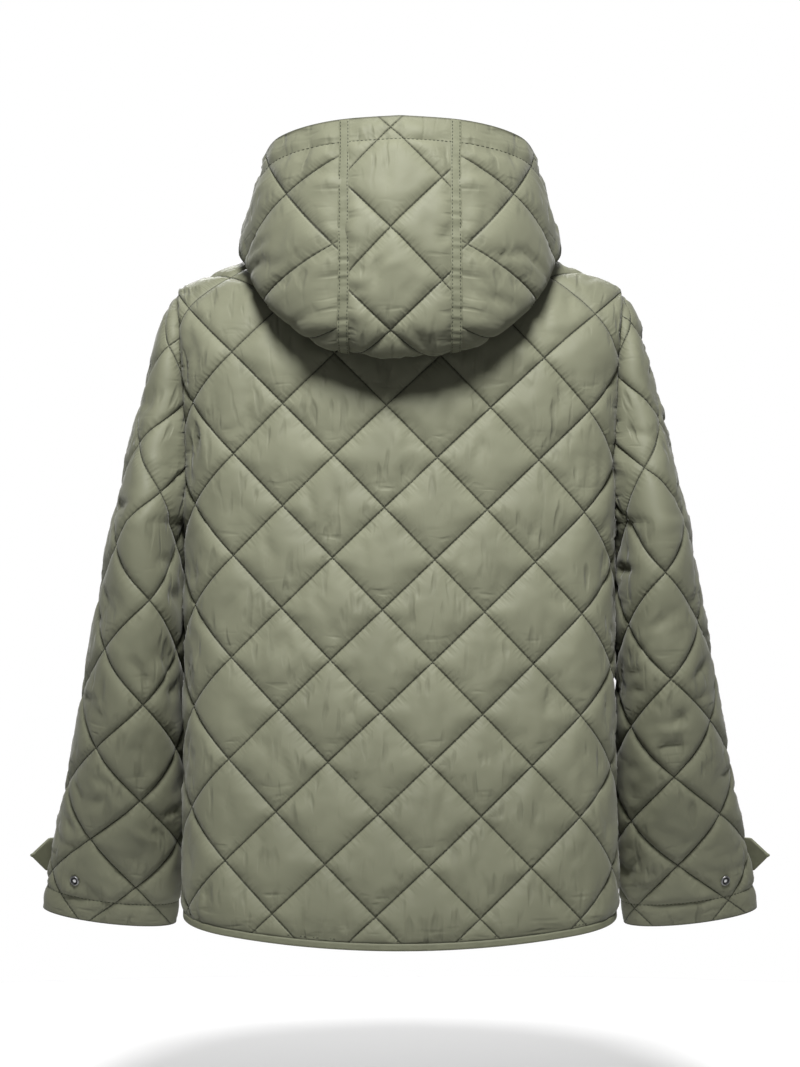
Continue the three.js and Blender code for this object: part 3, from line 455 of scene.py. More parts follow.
def hood_form(across, up, out):
    across, up = np.broadcast_arrays(np.asarray(across, float), np.asarray(up, float))
    share = -up / hood_length(across)
    s = np.clip(across, -HOOD_ACROSS + 3, HOOD_ACROSS - 3)
    inside = np.clip(share, 0.012, 0.988)
    along = hood_spot(s + 3, inside) - hood_spot(s - 3, inside)
    rise = hood_spot(s, inside - 0.01) - hood_spot(s, inside + 0.01)
    return hood_spot(across, share) - unit(np.cross(along, rise)) * np.asarray(out)[..., None]


print("hood", round(float(hood_length(0))), "mm deep at the middle")

# %% [markdown]
# ## Cutting and quilting
#
# On the real jacket shell, wadding and backing are quilted together first, and the panels are cut out
# of that cloth. So each panel here starts flat: a fine net of points that lies along the stitched
# lines, cut by the panel's outline. It could also be an evenly divided grid, but then the stitched
# lines would cross its faces as steps instead of running along its edges.

# %% Outlines
EDGE_STEP = 4.4
NET_STEPS = 16  # net steps along a diamond's side


def side(length, at, step=EDGE_STEP):
    """Evenly spaced points along one side of a panel, without the last one."""
    count = max(1, round(length / step))
    x, y = at(np.arange(count) / count)
    return np.stack(np.broadcast_arrays(x, y), axis=-1).astype(float)


def body_half(plan, middle, neck_depth):
    """The outline of a body panel's wearer's-left half, from the hem's middle round to the neck's."""
    tip_across, tip_up = armhole_edge(plan, 1.0)
    neck_across = float(neck_edge(plan, neck_depth, 0.0)[0])
    hem_side = HEM_SIDE + BINDING
    across = lambda t: tip_across + (neck_across - tip_across) * t
    return [
        side(plan.side, lambda t: (plan.side * t, hem_up(plan, middle, plan.side * t) + BINDING)),
        side(UNDERARM - hem_side, lambda t: (plan.side, hem_side + (UNDERARM - hem_side) * t)),
        side(290, lambda t: armhole_edge(plan, t)),
        side(tip_across - neck_across, lambda t: (across(t), plan.up_at_depth(across(t), 0.0))),
        side(150, lambda t: neck_edge(plan, neck_depth, t)),
    ]


def back_outline():
    half = np.concatenate(body_half(back_form, HEM_BACK, NECK_BACK))
    top = np.array(neck_edge(back_form, NECK_BACK, 1.0))
    mirrored = half[:0:-1] * [-1, 1]
    return np.concatenate([half, top[None], mirrored])


def front_outline():
    half = np.concatenate(body_half(front_form, HEM_FRONT, NECK_FRONT))
    top = np.array(neck_edge(front_form, NECK_FRONT, 1.0))
    low = half[0, 1]
    edge = side(top[1] - low, lambda t: (0 * t, top[1] + (low - top[1]) * t))
    return np.concatenate([half, edge])


def sleeve_outline():
    underarm = float(sleeve_up(UNDERARM))
    cuff_front, cuff_back = float(ring_half(0, -1)), float(ring_half(0, 1))
    cuff = side(cuff_front + cuff_back, lambda t: (-cuff_front + (cuff_front + cuff_back) * t, 0 * t))
    seam = side(underarm, lambda t: (ring_half(underarm * t, 1), underarm * t))
    front_seam = side(underarm, lambda t: (-ring_half(underarm * (1 - t), -1), underarm * (1 - t)))

    def cap(plan, sign):
        shares = np.linspace(0, 1, 66, endpoint=False)
        across, up = armhole_edge(plan, shares)
        z = plan.spot(across, up)[:, 2]
        cloth = sleeve_up(np.minimum(z, SHOULDER_TIP - 0.5))
        return np.stack([sign * ring_half(cloth, sign), cloth], axis=-1)

    top = np.array([[0, SLEEVE_LENGTH - 0.5]])
    front_cap = cap(front_form, -1)[::-1]
    line = np.concatenate([cuff, seam, cap(back_form, 1), top, front_cap, front_seam[1:]])
    return line[np.linalg.norm(line - np.roll(line, 1, axis=0), axis=1) > 0.5]


def hood_outline(start, end):
    across = end - start
    neck = side(across * 0.8, lambda t: (start + across * t, -hood_length(start + across * t)))
    rising = side(float(hood_length(end)), lambda t: (end + 0 * t, -hood_length(end) * (1 - t)))
    edge = side(across, lambda t: (end - across * t, 0 * t))
    falling = side(float(hood_length(start)), lambda t: (start + 0 * t, -hood_length(start) * t))
    return np.concatenate([neck, rising, edge, falling])


# %% Flat cloth
def lattice(quilt, across, up):
    """Quilt coordinates: a stitched line runs wherever one of the two is a whole number."""
    x0, y0, turn = quilt
    c, s = math.cos(math.radians(turn)), math.sin(math.radians(turn))
    x = (across - x0) * c + (up - y0) * s
    y = (up - y0) * c - (across - x0) * s
    return (x + y) / QUILT_PITCH, (x - y) / QUILT_PITCH


def from_lattice(quilt, u, v):
    x0, y0, turn = quilt
    c, s = math.cos(math.radians(turn)), math.sin(math.radians(turn))
    x, y = (u + v) * QUILT_PITCH / 2, (u - v) * QUILT_PITCH / 2
    return x0 + x * c - y * s, y0 + x * s + y * c


def line_place(points, line, closed=True):
    """How far each point is from a line of points, and how far along it its nearest spot is."""
    ends = np.roll(line, -1, axis=0) if closed else line[1:]
    starts = line if closed else line[:-1]
    best, along, gone = np.full(len(points), np.inf), np.zeros(len(points)), 0.0
    for a, b in zip(starts, ends):
        d = b - a
        t = np.clip(((points - a) @ d) / max(float(d @ d), 1e-12), 0, 1)
        away = np.hypot(*(points - a - t[:, None] * d).T)
        nearer = away < best
        best, along = np.where(nearer, away, best), np.where(nearer, gone + t * np.hypot(*d), along)
        gone += float(np.hypot(*d))
    return best, along


def inside(points, loop):
    x, y = points.T
    odd = np.zeros(len(points), bool)
    for (ax, ay), (bx, by) in zip(loop, np.roll(loop, -1, axis=0)):
        if ay != by:
            odd ^= ((ay > y) != (by > y)) & (x < ax + (bx - ax) * (y - ay) / (by - ay))
    return odd


def flat_cloth(outline, quilt, hems):
    """Cuts a net of quilted cloth by an outline, with a row of points along each stitched hem.
    Returns flat points and faces; the outline's points come first, in order."""
    u, v = lattice(quilt, *outline.T)
    us = np.arange(math.floor(u.min() * NET_STEPS) - 1, math.ceil(u.max() * NET_STEPS) + 2)
    vs = np.arange(math.floor(v.min() * NET_STEPS) - 1, math.ceil(v.max() * NET_STEPS) + 2)
    uu, vv = (g.ravel() / NET_STEPS for g in np.meshgrid(us, vs))
    points = np.stack(from_lattice(quilt, uu, vv), axis=-1)
    low, high = outline.min(0), outline.max(0)
    points = points[((points > low) & (points < high)).all(axis=1)]
    points = points[inside(points, outline)]
    clear = 0.5 * QUILT_PITCH / math.sqrt(2) / NET_STEPS
    points = points[line_place(points, outline)[0] > clear]
    rows = [outline]
    edges, count = [], len(outline)
    for hem in hems:
        points = points[line_place(points, hem, closed=False)[0] > clear]
        edges += [(count + i, count + i + 1) for i in range(len(hem) - 1)]
        count += len(hem)
        rows.append(hem)
    every = np.concatenate([*rows, points])
    ring = list(range(len(outline)))
    made, _, faces, *_ = delaunay_2d_cdt([Vector(p) for p in every], edges, [ring], 1, 1e-5)
    assert len(made) == len(every)
    bm = bmesh.new()
    verts = [bm.verts.new((x, y, 0)) for x, y in every]
    for face in faces:
        bm.faces.new([verts[i] for i in face])
    bm.normal_update()
    bmesh.ops.join_triangles(
        bm, faces=bm.faces[:], angle_face_threshold=0.1, angle_shape_threshold=0.3
    )
    bm.verts.index_update()
    faces = [[v.index for v in face.verts] for face in bm.faces]
    bm.free()
    return every, faces


# %% Cut the panels
UNDERARM_FADE = 28.0
PLACKET_BED = 25.0
STUD_PAD, STUD_PAD_PUFF = 8.0, 2.4
CUFF_STUD = (50.0, 45.0)


def row(start, end, up):
    """A stitched line across a panel, ending just short of its edges."""
    count = max(3, round((end - start) / EDGE_STEP))
    return np.stack([np.linspace(start + 2.5, end - 2.5, count), np.full(count, float(up))], axis=-1)


def near_underarm(side_at, underarm_up):
    return lambda flat: np.minimum(
        1, np.hypot(np.abs(flat[:, 0]) - side_at, flat[:, 1] - underarm_up) / UNDERARM_FADE
    )


sleeve_underarm = float(sleeve_up(UNDERARM))
sleeve_thin = near_underarm(float(ring_half(sleeve_underarm, 1)), sleeve_underarm)
front_thin = near_underarm(front_form.side, UNDERARM)
CUFF_HEM = row(-float(ring_half(TURNED_HEM, -1)), float(ring_half(TURNED_HEM, 1)), TURNED_HEM)
sleeve = dict(
    outline=sleeve_outline(), form=sleeve_form, facing=1, hems=[CUFF_HEM], pads=[CUFF_STUD],
    thin=lambda flat: sleeve_thin(flat) * np.where(flat[:, 1] < TURNED_HEM, 0.35, 1), gathers=0.5, margin=0.0,
)
PANELS = {
    "back": dict(
        outline=back_outline(), quilt="back", form=back_form, facing=-1, hems=[], pads=[],
        thin=near_underarm(back_form.side, UNDERARM), gathers=0.45, margin=0.0,
    ),
    "front_left": dict(
        outline=front_outline(), quilt="front", form=front_form, facing=1, hems=[], pads=[],
        thin=lambda flat: np.where(flat[:, 0] < PLACKET_BED, 0, front_thin(flat)), gathers=0.45,
        margin=0.0,
    ),
    "sleeve_left": dict(sleeve, quilt="sleeve_left"),
    "sleeve_right": dict(sleeve, quilt="sleeve_right"),
    "hood_centre": dict(
        outline=hood_outline(-HOOD_STRIP, HOOD_STRIP), quilt="hood_centre", form=hood_form, facing=-1,
        hems=[row(-HOOD_STRIP, HOOD_STRIP, -TURNED_HEM)], pads=[], gathers=2.8, margin=4.0,
        thin=lambda flat: np.where(flat[:, 1] > -TURNED_HEM, 0.7, 1),
    ),
    "hood_side_left": dict(
        outline=hood_outline(HOOD_STRIP, HOOD_ACROSS), quilt="hood_side", form=hood_form, facing=-1,
        hems=[row(HOOD_STRIP, HOOD_ACROSS, -TURNED_HEM)], pads=[], gathers=3.6, margin=4.0,
        thin=lambda flat: np.where(flat[:, 1] > -TURNED_HEM, 0.7, 1),
    ),
}
for name, panel in PANELS.items():
    panel["flat"], panel["faces"] = flat_cloth(panel["outline"], QUILTS[panel["quilt"]], panel["hems"])
    print(name, len(panel["flat"]), "points", len(panel["faces"]), "faces")

# %% [markdown]
# ## Filling the diamonds
#
# Wadding between two cloths stands out wherever it isn't stitched, and the shell has a little more
# cloth than the diamond it covers, so it rises, rounds off and creases. The stitched lines stay where
# they are. Displacing a grid by a formula gives the height, but every diamond is then alike. Here the
# formula is only the start: Blender's cloth blows each panel up under light pressure with its lines
# pinned. Broad soft creases, a few to a diamond and none twice the same, are laid over the result, and
# short gathers where the sewing machine drew the cloth together along seams and hems.

# %% Wadding, creases and gathers
WADDING = 3.8
SIM_UNIT = 0.01  # the simulation's length unit is 100 mm, where its default stiffness fits cloth
SIM_FRAMES = 10


def pillow(u, v, foot=10.0, head=6.5):
    """How full a diamond is, from 0 to 1. It drops steeply to its two lower edges, where the wadding
    sags, and gently to its two upper ones."""
    full = 1.0
    for f in (u - np.floor(u), 1 - (v - np.floor(v))):
        full = full * (1 - np.abs(2 * f - 1) ** np.where(f < 0.5, foot, head))
    return full


def crease_field(flat, u, v, quilt, seed, lay, spread, force):
    """Soft troughs and ridges: four in each diamond, leaning from upright by lay and spread, and two
    across its foot."""
    rng = np.random.default_rng(seed)
    field = np.zeros(len(flat))
    for cu, cv in np.unique(np.floor(np.stack([u, v], 1)), axis=0):
        cx, cy = from_lattice(quilt, cu + 0.5, cv + 0.5)
        lively = rng.uniform(0.4, 1.25)
        for k in range(6):
            foot = k > 3
            ox = rng.uniform(-9, 9) if foot else rng.uniform(-27, 27)
            oy = rng.uniform(-38, -24) if foot else rng.uniform(-24, 16)
            tilt = rng.normal(0, 0.22) + math.pi / 2 if foot else rng.normal(lay, spread)
            length = rng.uniform(7, 14) if foot else rng.uniform(9, 22)
            width = rng.uniform(2.4, 3.6) if foot else rng.uniform(2.8, 5.0)
            depth = rng.choice([-0.5, 1, 1]) * rng.uniform(0.8, 2.6) * lively * (0.55 if foot else force)
            bow = rng.uniform(-0.016, 0.016)
            near = (np.abs(flat[:, 0] - cx) < 52) & (np.abs(flat[:, 1] - cy) < 52)
            dx, dy = flat[near, 0] - cx - ox, flat[near, 1] - cy - oy
            lx = dx * math.cos(tilt) + dy * math.sin(tilt)
            ly = dy * math.cos(tilt) - dx * math.sin(tilt)
            lx = lx + bow * ly * ly
            field[near] -= depth * np.exp(-((lx / width) ** 2) - (ly / length) ** 2)
    return field * np.sqrt(pillow(u, v, 3.0, 3.0))


def gather_field(away, along, seed, reach=15.0, spacing=8.5):
    """Short ripples square to a seam, uneven in depth, that fade out away from it."""
    knots = np.random.default_rng(seed).uniform(-1, 0.7, 4000)
    wave = np.interp(along / spacing, np.arange(4000), knots)
    return wave * np.exp(-((away - 5) / reach) ** 2) * np.clip(away / 4, 0, 1)


def blow_up(name, points, order, held):
    """Blender's cloth, with pressure, no gravity and the stitched points pinned."""
    mesh = bpy.data.meshes.new(name + "_cloth")
    mesh.from_pydata((points * SIM_UNIT).tolist(), [], order)
    obj = bpy.data.objects.new(name + "_cloth", mesh)
    bpy.context.scene.collection.objects.link(obj)
    pins = obj.vertex_groups.new(name="held")
    pins.add([int(i) for i in np.nonzero(held)[0]], 1.0, "REPLACE")
    modifier = obj.modifiers.new("cloth", "CLOTH")
    cloth = modifier.settings
    cloth.quality = 5
    cloth.mass = 0.1
    cloth.tension_stiffness = cloth.compression_stiffness = 15
    cloth.shear_stiffness = 4
    cloth.bending_stiffness = 0.4
    cloth.use_pressure = True
    cloth.uniform_pressure_force = 0.1
    cloth.vertex_group_mass = "held"
    cloth.shrink_min = -0.012
    cloth.effector_weights.gravity = 0
    modifier.collision_settings.use_collision = False
    modifier.point_cache.frame_end = SIM_FRAMES
    for step in range(1, SIM_FRAMES + 1):
        bpy.context.scene.frame_set(step)
    shown = obj.evaluated_get(bpy.context.evaluated_depsgraph_get())
    moved = np.empty(len(points) * 3)
    shown.data.vertices.foreach_get("co", moved)
    bpy.data.objects.remove(obj)
    bpy.data.meshes.remove(mesh)
    bpy.context.scene.frame_set(1)
    return moved.reshape(-1, 3) / SIM_UNIT


def fill(name, panel, seed):
    """Fills a panel: its outer points, and what is stitched down or held."""
    flat, faces, form = panel["flat"], panel["faces"], panel["form"]
    u, v = lattice(QUILTS[panel["quilt"]], *flat.T)
    stitched = (np.abs(u - np.round(u)) < 1e-3) | (np.abs(v - np.round(v)) < 1e-3)
    edge, edge_along = line_place(flat, panel["outline"])
    rise = WADDING * pillow(u, v) * np.clip((edge - panel["margin"]) / 9, 0, 1) ** 0.6
    gathers = gather_field(edge, edge_along, seed + 40) * panel["gathers"]
    for hem in panel["hems"]:
        away, along = line_place(flat, hem, closed=False)
        rise *= np.minimum(1, away / 9) ** 0.6
        gathers += gather_field(away, along, seed + 60, reach=9.0) * 0.8
        stitched |= away < 0.1
    share = panel["thin"](flat)
    rise = rise * share + np.random.default_rng(seed).normal(0, 0.05, len(flat))
    rise[stitched] = 0
    held = stitched | (edge < panel["margin"] + 0.2)
    held[: len(panel["outline"])] = True
    rise[held] = 0
    if name.startswith("front"):
        bed = flat[:, 0] < PLACKET_BED
        rise[bed], held[bed] = 0, True
    for pad in panel["pads"]:
        under = np.hypot(*(flat - pad).T) < STUD_PAD
        rise[under], held[under], share[under] = STUD_PAD_PUFF, True, 0
    order = faces if panel["facing"] > 0 else [f[::-1] for f in faces]
    start = form(flat[:, 0], flat[:, 1], rise)
    outer = blow_up(name, start, order, held)
    panel.update(
        u=u, v=v, stitched=stitched, held=held, edge=edge, share=share, order=order,
        outer=outer, gather=gathers * np.minimum(1, share + 0.3),
    )


# %% Fill the panels
for number, (name, panel) in enumerate(PANELS.items()):
    fill(name, panel, seed=number)
    rest = panel["form"](*panel["flat"].T, np.zeros(len(panel["flat"])))
    height = np.linalg.norm(panel["outer"] - rest, axis=1)
    print(name, "stands out up to", round(float(height.max()), 1), "mm")

# %% [markdown]
# ## The panels' walls
#
# A panel is shell, wadding and backing, so it has an outer face, a plain inner face and a cut edge
# between them. A Solidify modifier would copy the puffed face inwards; the real backing lies nearly
# flat, so the inner face is laid on the form by itself, one wall's thickness in, and the two are joined
# round the edge.


# %% Build the walls
def new_object(name, data):
    obj = bpy.data.objects.new(name, data)
    bpy.context.scene.collection.objects.link(obj)
    return obj


def set_uv(mesh, name, values):
    layer = mesh.uv_layers.new(name=name)
    corner = np.empty(len(mesh.loops), int)
    mesh.loops.foreach_get("vertex_index", corner)
    layer.data.foreach_set("uv", values[corner].astype(np.float32).ravel())


def flat_area(outline):
    x, y = outline.T
    return abs(float(np.sum(x * np.roll(y, -1) - np.roll(x, -1) * y))) / 2


# how a panel's creases lean from upright, how widely, and how strong they are
LAYS = {
    "sleeve_left": (1.1, 0.5, 1.9), "sleeve_right": (1.1, 0.5, 1.9),
    "hood_centre": (0.2, 0.5, 1.6), "hood_side_left": (0.9, 0.7, 2.6),
}


def make_panel(name, source, seed, mirrored=False):
    panel = PANELS[source]
    flat, quilt = panel["flat"], QUILTS[panel["quilt"]]
    creases = crease_field(flat, panel["u"], panel["v"], quilt, seed, *LAYS.get(source, (0, 0.22, 1.7)))
    extra = creases * panel["share"] + panel["gather"]
    extra = np.where(panel["held"], 0, extra)
    rest = panel["form"](*flat.T, np.zeros(len(flat)))
    outwards = unit(panel["form"](*flat.T, np.ones(len(flat))) - rest)
    outer = panel["outer"] + outwards * extra[:, None]
    lift = np.einsum("ij,ij->i", outer - rest, outwards)
    outer += outwards * (np.clip(lift, -0.4, PUFF) - lift)[:, None]
    inner = rest - outwards * WALL
    count, ring = len(flat), len(panel["outline"])
    middle = rest[:ring] - outwards[:ring] * WALL / 2
    points = np.concatenate([outer, inner, middle])
    order = panel["order"]
    faces = [list(f) for f in order] + [[i + count for i in f[::-1]] for f in order]
    for i in range(ring):
        a, b = i, (i + 1) % ring
        if panel["facing"] > 0:
            a, b = b, a
        faces.append([a, b, b + 2 * count, a + 2 * count])
        faces.append([a + 2 * count, b + 2 * count, b + count, a + count])
    if mirrored:
        points = points * [-1, 1, 1]
        faces = [f[::-1] for f in faces]
    mesh = bpy.data.meshes.new(name)
    mesh.from_pydata((points * MM).tolist(), [], faces)
    mesh.shade_smooth()
    flats = np.concatenate([flat, flat, flat[:ring]])
    lattices = np.stack([panel["u"], panel["v"]], 1)
    set_uv(mesh, "quilt", np.concatenate([lattices, lattices, lattices[:ring]]))
    set_uv(mesh, "cloth", flats * MM)
    edge = np.concatenate([panel["edge"], panel["edge"], np.zeros(ring)])
    mesh.attributes.new("edge", "FLOAT", "POINT").data.foreach_set("value", edge)
    stitched = np.r_[panel["stitched"], np.zeros(count + ring, bool)]
    rim = np.r_[np.arange(count) < ring, np.zeros(count + ring, bool)]
    ends = np.empty(len(mesh.edges) * 2, int)
    mesh.edges.foreach_get("vertices", ends)
    a, b = ends.reshape(-1, 2).T
    sharp = (stitched[a] & stitched[b]) | (rim[a] & rim[b])
    mesh.attributes.new("sharp_edge", "BOOLEAN", "EDGE").data.foreach_set("value", sharp)
    obj = new_object(name + "_cloth", mesh)
    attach(obj, "root")
    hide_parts(name)
    low, high = panel["outline"].min(0) * MM, panel["outline"].max(0) * MM
    area = flat_area(panel["outline"]) * MM * MM
    cuts.append((obj, tuple(float(v) for v in high - low), area))
    print(obj.name, len(mesh.vertices), "points, flat", round(area, 3), "square metres")
    return obj


cuts = []
cloths = [
    make_panel("back", "back", 11),
    make_panel("front_left", "front_left", 12),
    make_panel("front_right", "front_left", 13, mirrored=True),
    make_panel("sleeve_left", "sleeve_left", 14),
    make_panel("sleeve_right", "sleeve_right", 15, mirrored=True),
    make_panel("hood_centre", "hood_centre", 16),
    make_panel("hood_side_left", "hood_side_left", 17),
    make_panel("hood_side_right", "hood_side_left", 18, mirrored=True),
]

# %% [markdown]
# ## Strips: binding, placket, cuff tabs and hood seams
#
# Four trims are folded strips of the same nylon. The binding runs round the hem, the placket closes
# the front, a pointed tab lies on each cuff, and a narrow strip is stitched down over each hood seam.
# Each could be a curve with a profile, but a strip is cut flat in reality too: so a flat slab is made
# with a grid and an extrusion, its edges are rounded with a bevel, and only then is it laid on the
# form, like the cloth.

# %% A strip
CLEARANCE = 0.65


def strip(name, length, width, wall, steps, bevel, place, node=None, shaped=None):
    """A flat slab, length by width by wall, laid in place by a function of (along, rise, out)."""
    bm = bmesh.new()
    bmesh.ops.create_grid(bm, x_segments=steps[0], y_segments=steps[1], size=0.5)
    bmesh.ops.translate(bm, vec=(0.5, 0, 0), verts=bm.verts)
    bmesh.ops.scale(bm, vec=(length, width, 1), verts=bm.verts)
    if shaped:
        for vert in bm.verts:
            vert.co.x, vert.co.y = shaped(vert.co.x, vert.co.y)
    lifted = bmesh.ops.extrude_face_region(bm, geom=bm.faces[:])
    top = [v for v in lifted["geom"] if isinstance(v, bmesh.types.BMVert)]
    bmesh.ops.translate(bm, vec=(0, 0, wall), verts=top)
    bmesh.ops.recalc_face_normals(bm, faces=bm.faces)
    corners = [e for e in bm.edges if e.is_manifold and e.calc_face_angle() > 1.0]
    bmesh.ops.bevel(
        bm, geom=corners, affect="EDGES", offset=bevel, segments=3, profile=0.5, material=-1
    )
    flat = np.array([v.co[:] for v in bm.verts])
    placed = place(*flat.T) * MM
    for vert, spot in zip(bm.verts, placed):
        vert.co = spot
    bm.normal_update()
    if bm.calc_volume(signed=True) < 0:
        bmesh.ops.reverse_faces(bm, faces=bm.faces)
    mesh = bpy.data.meshes.new(name)
    bm.to_mesh(mesh)
    bm.free()
    mesh.shade_smooth()
    obj = new_object(name, mesh)
    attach(obj, "root")
    if node:
        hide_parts(node)
    print(name, len(mesh.vertices), "points")
    return obj


def handed(points, mirrored):
    return points * [-1, 1, 1] if mirrored else points


def wobble(along, seed, spacing=6.0):
    """Uneven small waves along a strip, between -1 and 1."""
    knots = np.random.default_rng(seed).uniform(-1, 1, 600)
    return np.interp(along / spacing, np.arange(600), knots)


# %% Hem binding
FRONT_GIRTH, BACK_GIRTH = front_form.side - 1, 2 * back_form.side
BINDING_LENGTH = 2 * FRONT_GIRTH + BACK_GIRTH


def on_hem(along, rise, out):
    """Round the hem from the front's left edge, under the left arm, over the back and home."""
    to_back, to_front = FRONT_GIRTH, FRONT_GIRTH + BACK_GIRTH
    left = np.minimum(1 + along, front_form.side)
    back = np.clip(back_form.side - (along - to_back), -back_form.side, back_form.side)
    right = np.clip(-front_form.side + (along - to_front), -front_form.side, -1)
    spots = [
        front_form(left, hem_up(front_form, HEM_FRONT, left) + rise, out),
        back_form(back, hem_up(back_form, HEM_BACK, back) + rise, out),
        front_form(right, hem_up(front_form, HEM_FRONT, right) + rise, out),
    ]
    second, third = (along > to_back)[..., None], (along > to_front)[..., None]
    return np.where(third, spots[2], np.where(second, spots[1], spots[0]))


def binding_place(along, rise, out):
    rise = rise + (0.5 + BINDING) / 2
    ripple = 0.35 * wobble(along, 91) * np.clip(rise / BINDING, 0, 1)
    return on_hem(along, rise, out - WALL - 1 + ripple)


binding = strip(
    "hem_binding_cloth", BINDING_LENGTH, BINDING - 0.5, 5.0, (300, 3), 1.7, binding_place, "hem_binding"
)

# %% Placket
PLACKET_HALF, PLACKET_WALL = 22.0, 3.5
PLACKET_LOW, PLACKET_TOP = HEM_FRONT + BINDING + 0.3, float(neck_edge(front_form, NECK_FRONT, 1.0)[1]) - 0.15
PLACKET_LENGTH = PLACKET_TOP - PLACKET_LOW


def on_front(across, up, out):
    return handed_front(across, up, out)


def handed_front(across, up, out):
    """The front's form is the left half; the placket covers a little of both halves."""
    return front_form(across, up, out)


def placket_place(along, rise, out):
    crown = 0.5 * (1 - (rise / PLACKET_HALF) ** 2) * (out > PLACKET_WALL / 2)
    ripple = 0.25 * wobble(along, 92, 14.0) * np.abs(rise) / PLACKET_HALF
    return handed_front(rise, PLACKET_LOW + along, CLEARANCE + out + crown + ripple)


placket = strip(
    "placket_cloth", PLACKET_LENGTH, 2 * PLACKET_HALF, PLACKET_WALL, (150, 12), 0.9, placket_place, "placket"
)

# %% Cuff tabs
TAB_UP, TAB_HALF, TAB_POINT, TAB_START, TAB_LEAVES = 50.0, 18.0, 21.0, -78.0, -34.0
TAB_FREE, TAB_WALL, TAB_LIFT = 42.0, 2.6, PUFF + SEAM_GAP
TAB_LENGTH = TAB_LEAVES - TAB_START + TAB_FREE


def on_tab(along, rise, out):
    """The tab lies on the front of the cuff, then stands off straight where the sleeve turns away."""
    across = TAB_START + np.asarray(along, float)
    leave, before, proud, above = (
        sleeve_form(TAB_LEAVES + da, TAB_UP + du, TAB_LIFT + do)
        for da, du, do in ((0, 0, 0), (-2, 0, 0), (0, 0, 1), (0, 1, 0))
    )
    away, square, upward = unit(leave - before), proud - leave, unit(above - leave)
    lying = sleeve_form(np.minimum(across, TAB_LEAVES), TAB_UP + rise, TAB_LIFT + out)
    beyond = np.maximum(across - TAB_LEAVES, 0)[..., None]
    free = leave + away * beyond + upward * np.asarray(rise)[..., None] + square * np.asarray(out)[..., None]
    return np.where((across <= TAB_LEAVES)[..., None], lying, free)


def pointed(along, rise):
    """Draws the free end of the tab together to its point."""
    shoulder = TAB_LENGTH - TAB_POINT
    return along, rise * min(1.0, max(0.06, 1 - (along - shoulder) / TAB_POINT))


def tab_place(mirrored):
    def place(along, rise, out):
        crown = 0.4 * (1 - (rise / TAB_HALF) ** 2) * (out > TAB_WALL / 2)
        return handed(on_tab(along, rise, out + crown), mirrored)

    return place


tabs = {
    hand: strip(
        f"tab_{hand}_cloth", TAB_LENGTH, 2 * TAB_HALF, TAB_WALL, (34, 8), 0.8, tab_place(hand == "right"),
        f"tab_{hand}", pointed,
    )
    for hand in ("left", "right")
}

# %% Hood seams
SEAM_STRIP, SEAM_THICK = 8.6, 0.9
hood_seam_length = float(hood_length(HOOD_STRIP)) - 3


def seam_place(mirrored):
    def place(along, rise, out):
        lower = np.clip((along - 30) / 80, 0.25, 1)
        ripple = 0.75 * (1 + wobble(along, 95 + mirrored, 3.6)) * lower
        sway = 0.5 * wobble(along, 97 + mirrored, 22.0)
        spot = hood_form(HOOD_STRIP + rise + sway, -1 - along, out - 0.3 + ripple)
        return handed(spot, mirrored)

    return place


hood_seams = {
    hand: strip(
        f"hood_seam_{hand}", hood_seam_length, SEAM_STRIP, SEAM_THICK, (340, 4), 0.4,
        seam_place(hand == "right"),
    )
    for hand in ("left", "right")
}

# %% [markdown]
# ## Thread
#
# Every stitched line on the jacket is a row of short dark stitches, about six to the inch, each sunk
# a little into the cloth. A dotted line in the material would look much the same from afar, but not
# close up or from the side. So one stitch is made from a stretched low sphere, and it is set down
# again and again along the lattice, the hems and the edges of the strips.

# %% Stitches
STITCH_STEP, STITCH_SHARE, THREAD_RADIUS = 4.0, 0.68, 0.46


def stitches(name, starts, ends, outwards):
    """One piece of thread: a stitch from each start to each end, standing square to the cloth."""
    bm = bmesh.new()
    bmesh.ops.create_uvsphere(bm, u_segments=5, v_segments=3, radius=1)
    bm.verts.index_update()
    shape = np.array([v.co[:] for v in bm.verts])
    faces = np.array([[v.index for v in (*f.verts, f.verts[-1])][:4] for f in bm.faces])
    sides = [len(f.verts) for f in bm.faces]
    bm.free()
    along = (ends - starts) * STITCH_SHARE / 2
    out = unit(outwards)
    across = unit(np.cross(along, out))
    middle = (starts + ends) / 2 + out * 0.12
    points = (
        middle[:, None]
        + shape[None, :, :1] * across[:, None] * THREAD_RADIUS
        + shape[None, :, 1:2] * out[:, None] * THREAD_RADIUS
        + shape[None, :, 2:] * along[:, None]
    )
    every = [
        [int(i) + n * len(shape) for i in face[:count]]
        for n in range(len(starts))
        for face, count in zip(faces, sides)
    ]
    mesh = bpy.data.meshes.new(name)
    mesh.from_pydata((points.reshape(-1, 3) * MM).tolist(), [], every)
    mesh.shade_smooth()
    obj = new_object(name, mesh)
    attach(obj, "root")
    print(name, len(starts), "stitches")
    return obj


def along_rows(line, step=STITCH_STEP):
    """Evenly spaced points along a flat line."""
    lengths = np.r_[0, np.cumsum(np.hypot(*np.diff(line, axis=0).T))]
    spots = np.linspace(0, lengths[-1], max(2, round(lengths[-1] / step)))
    return np.stack([np.interp(spots, lengths, line[:, k]) for k in range(2)], axis=-1)


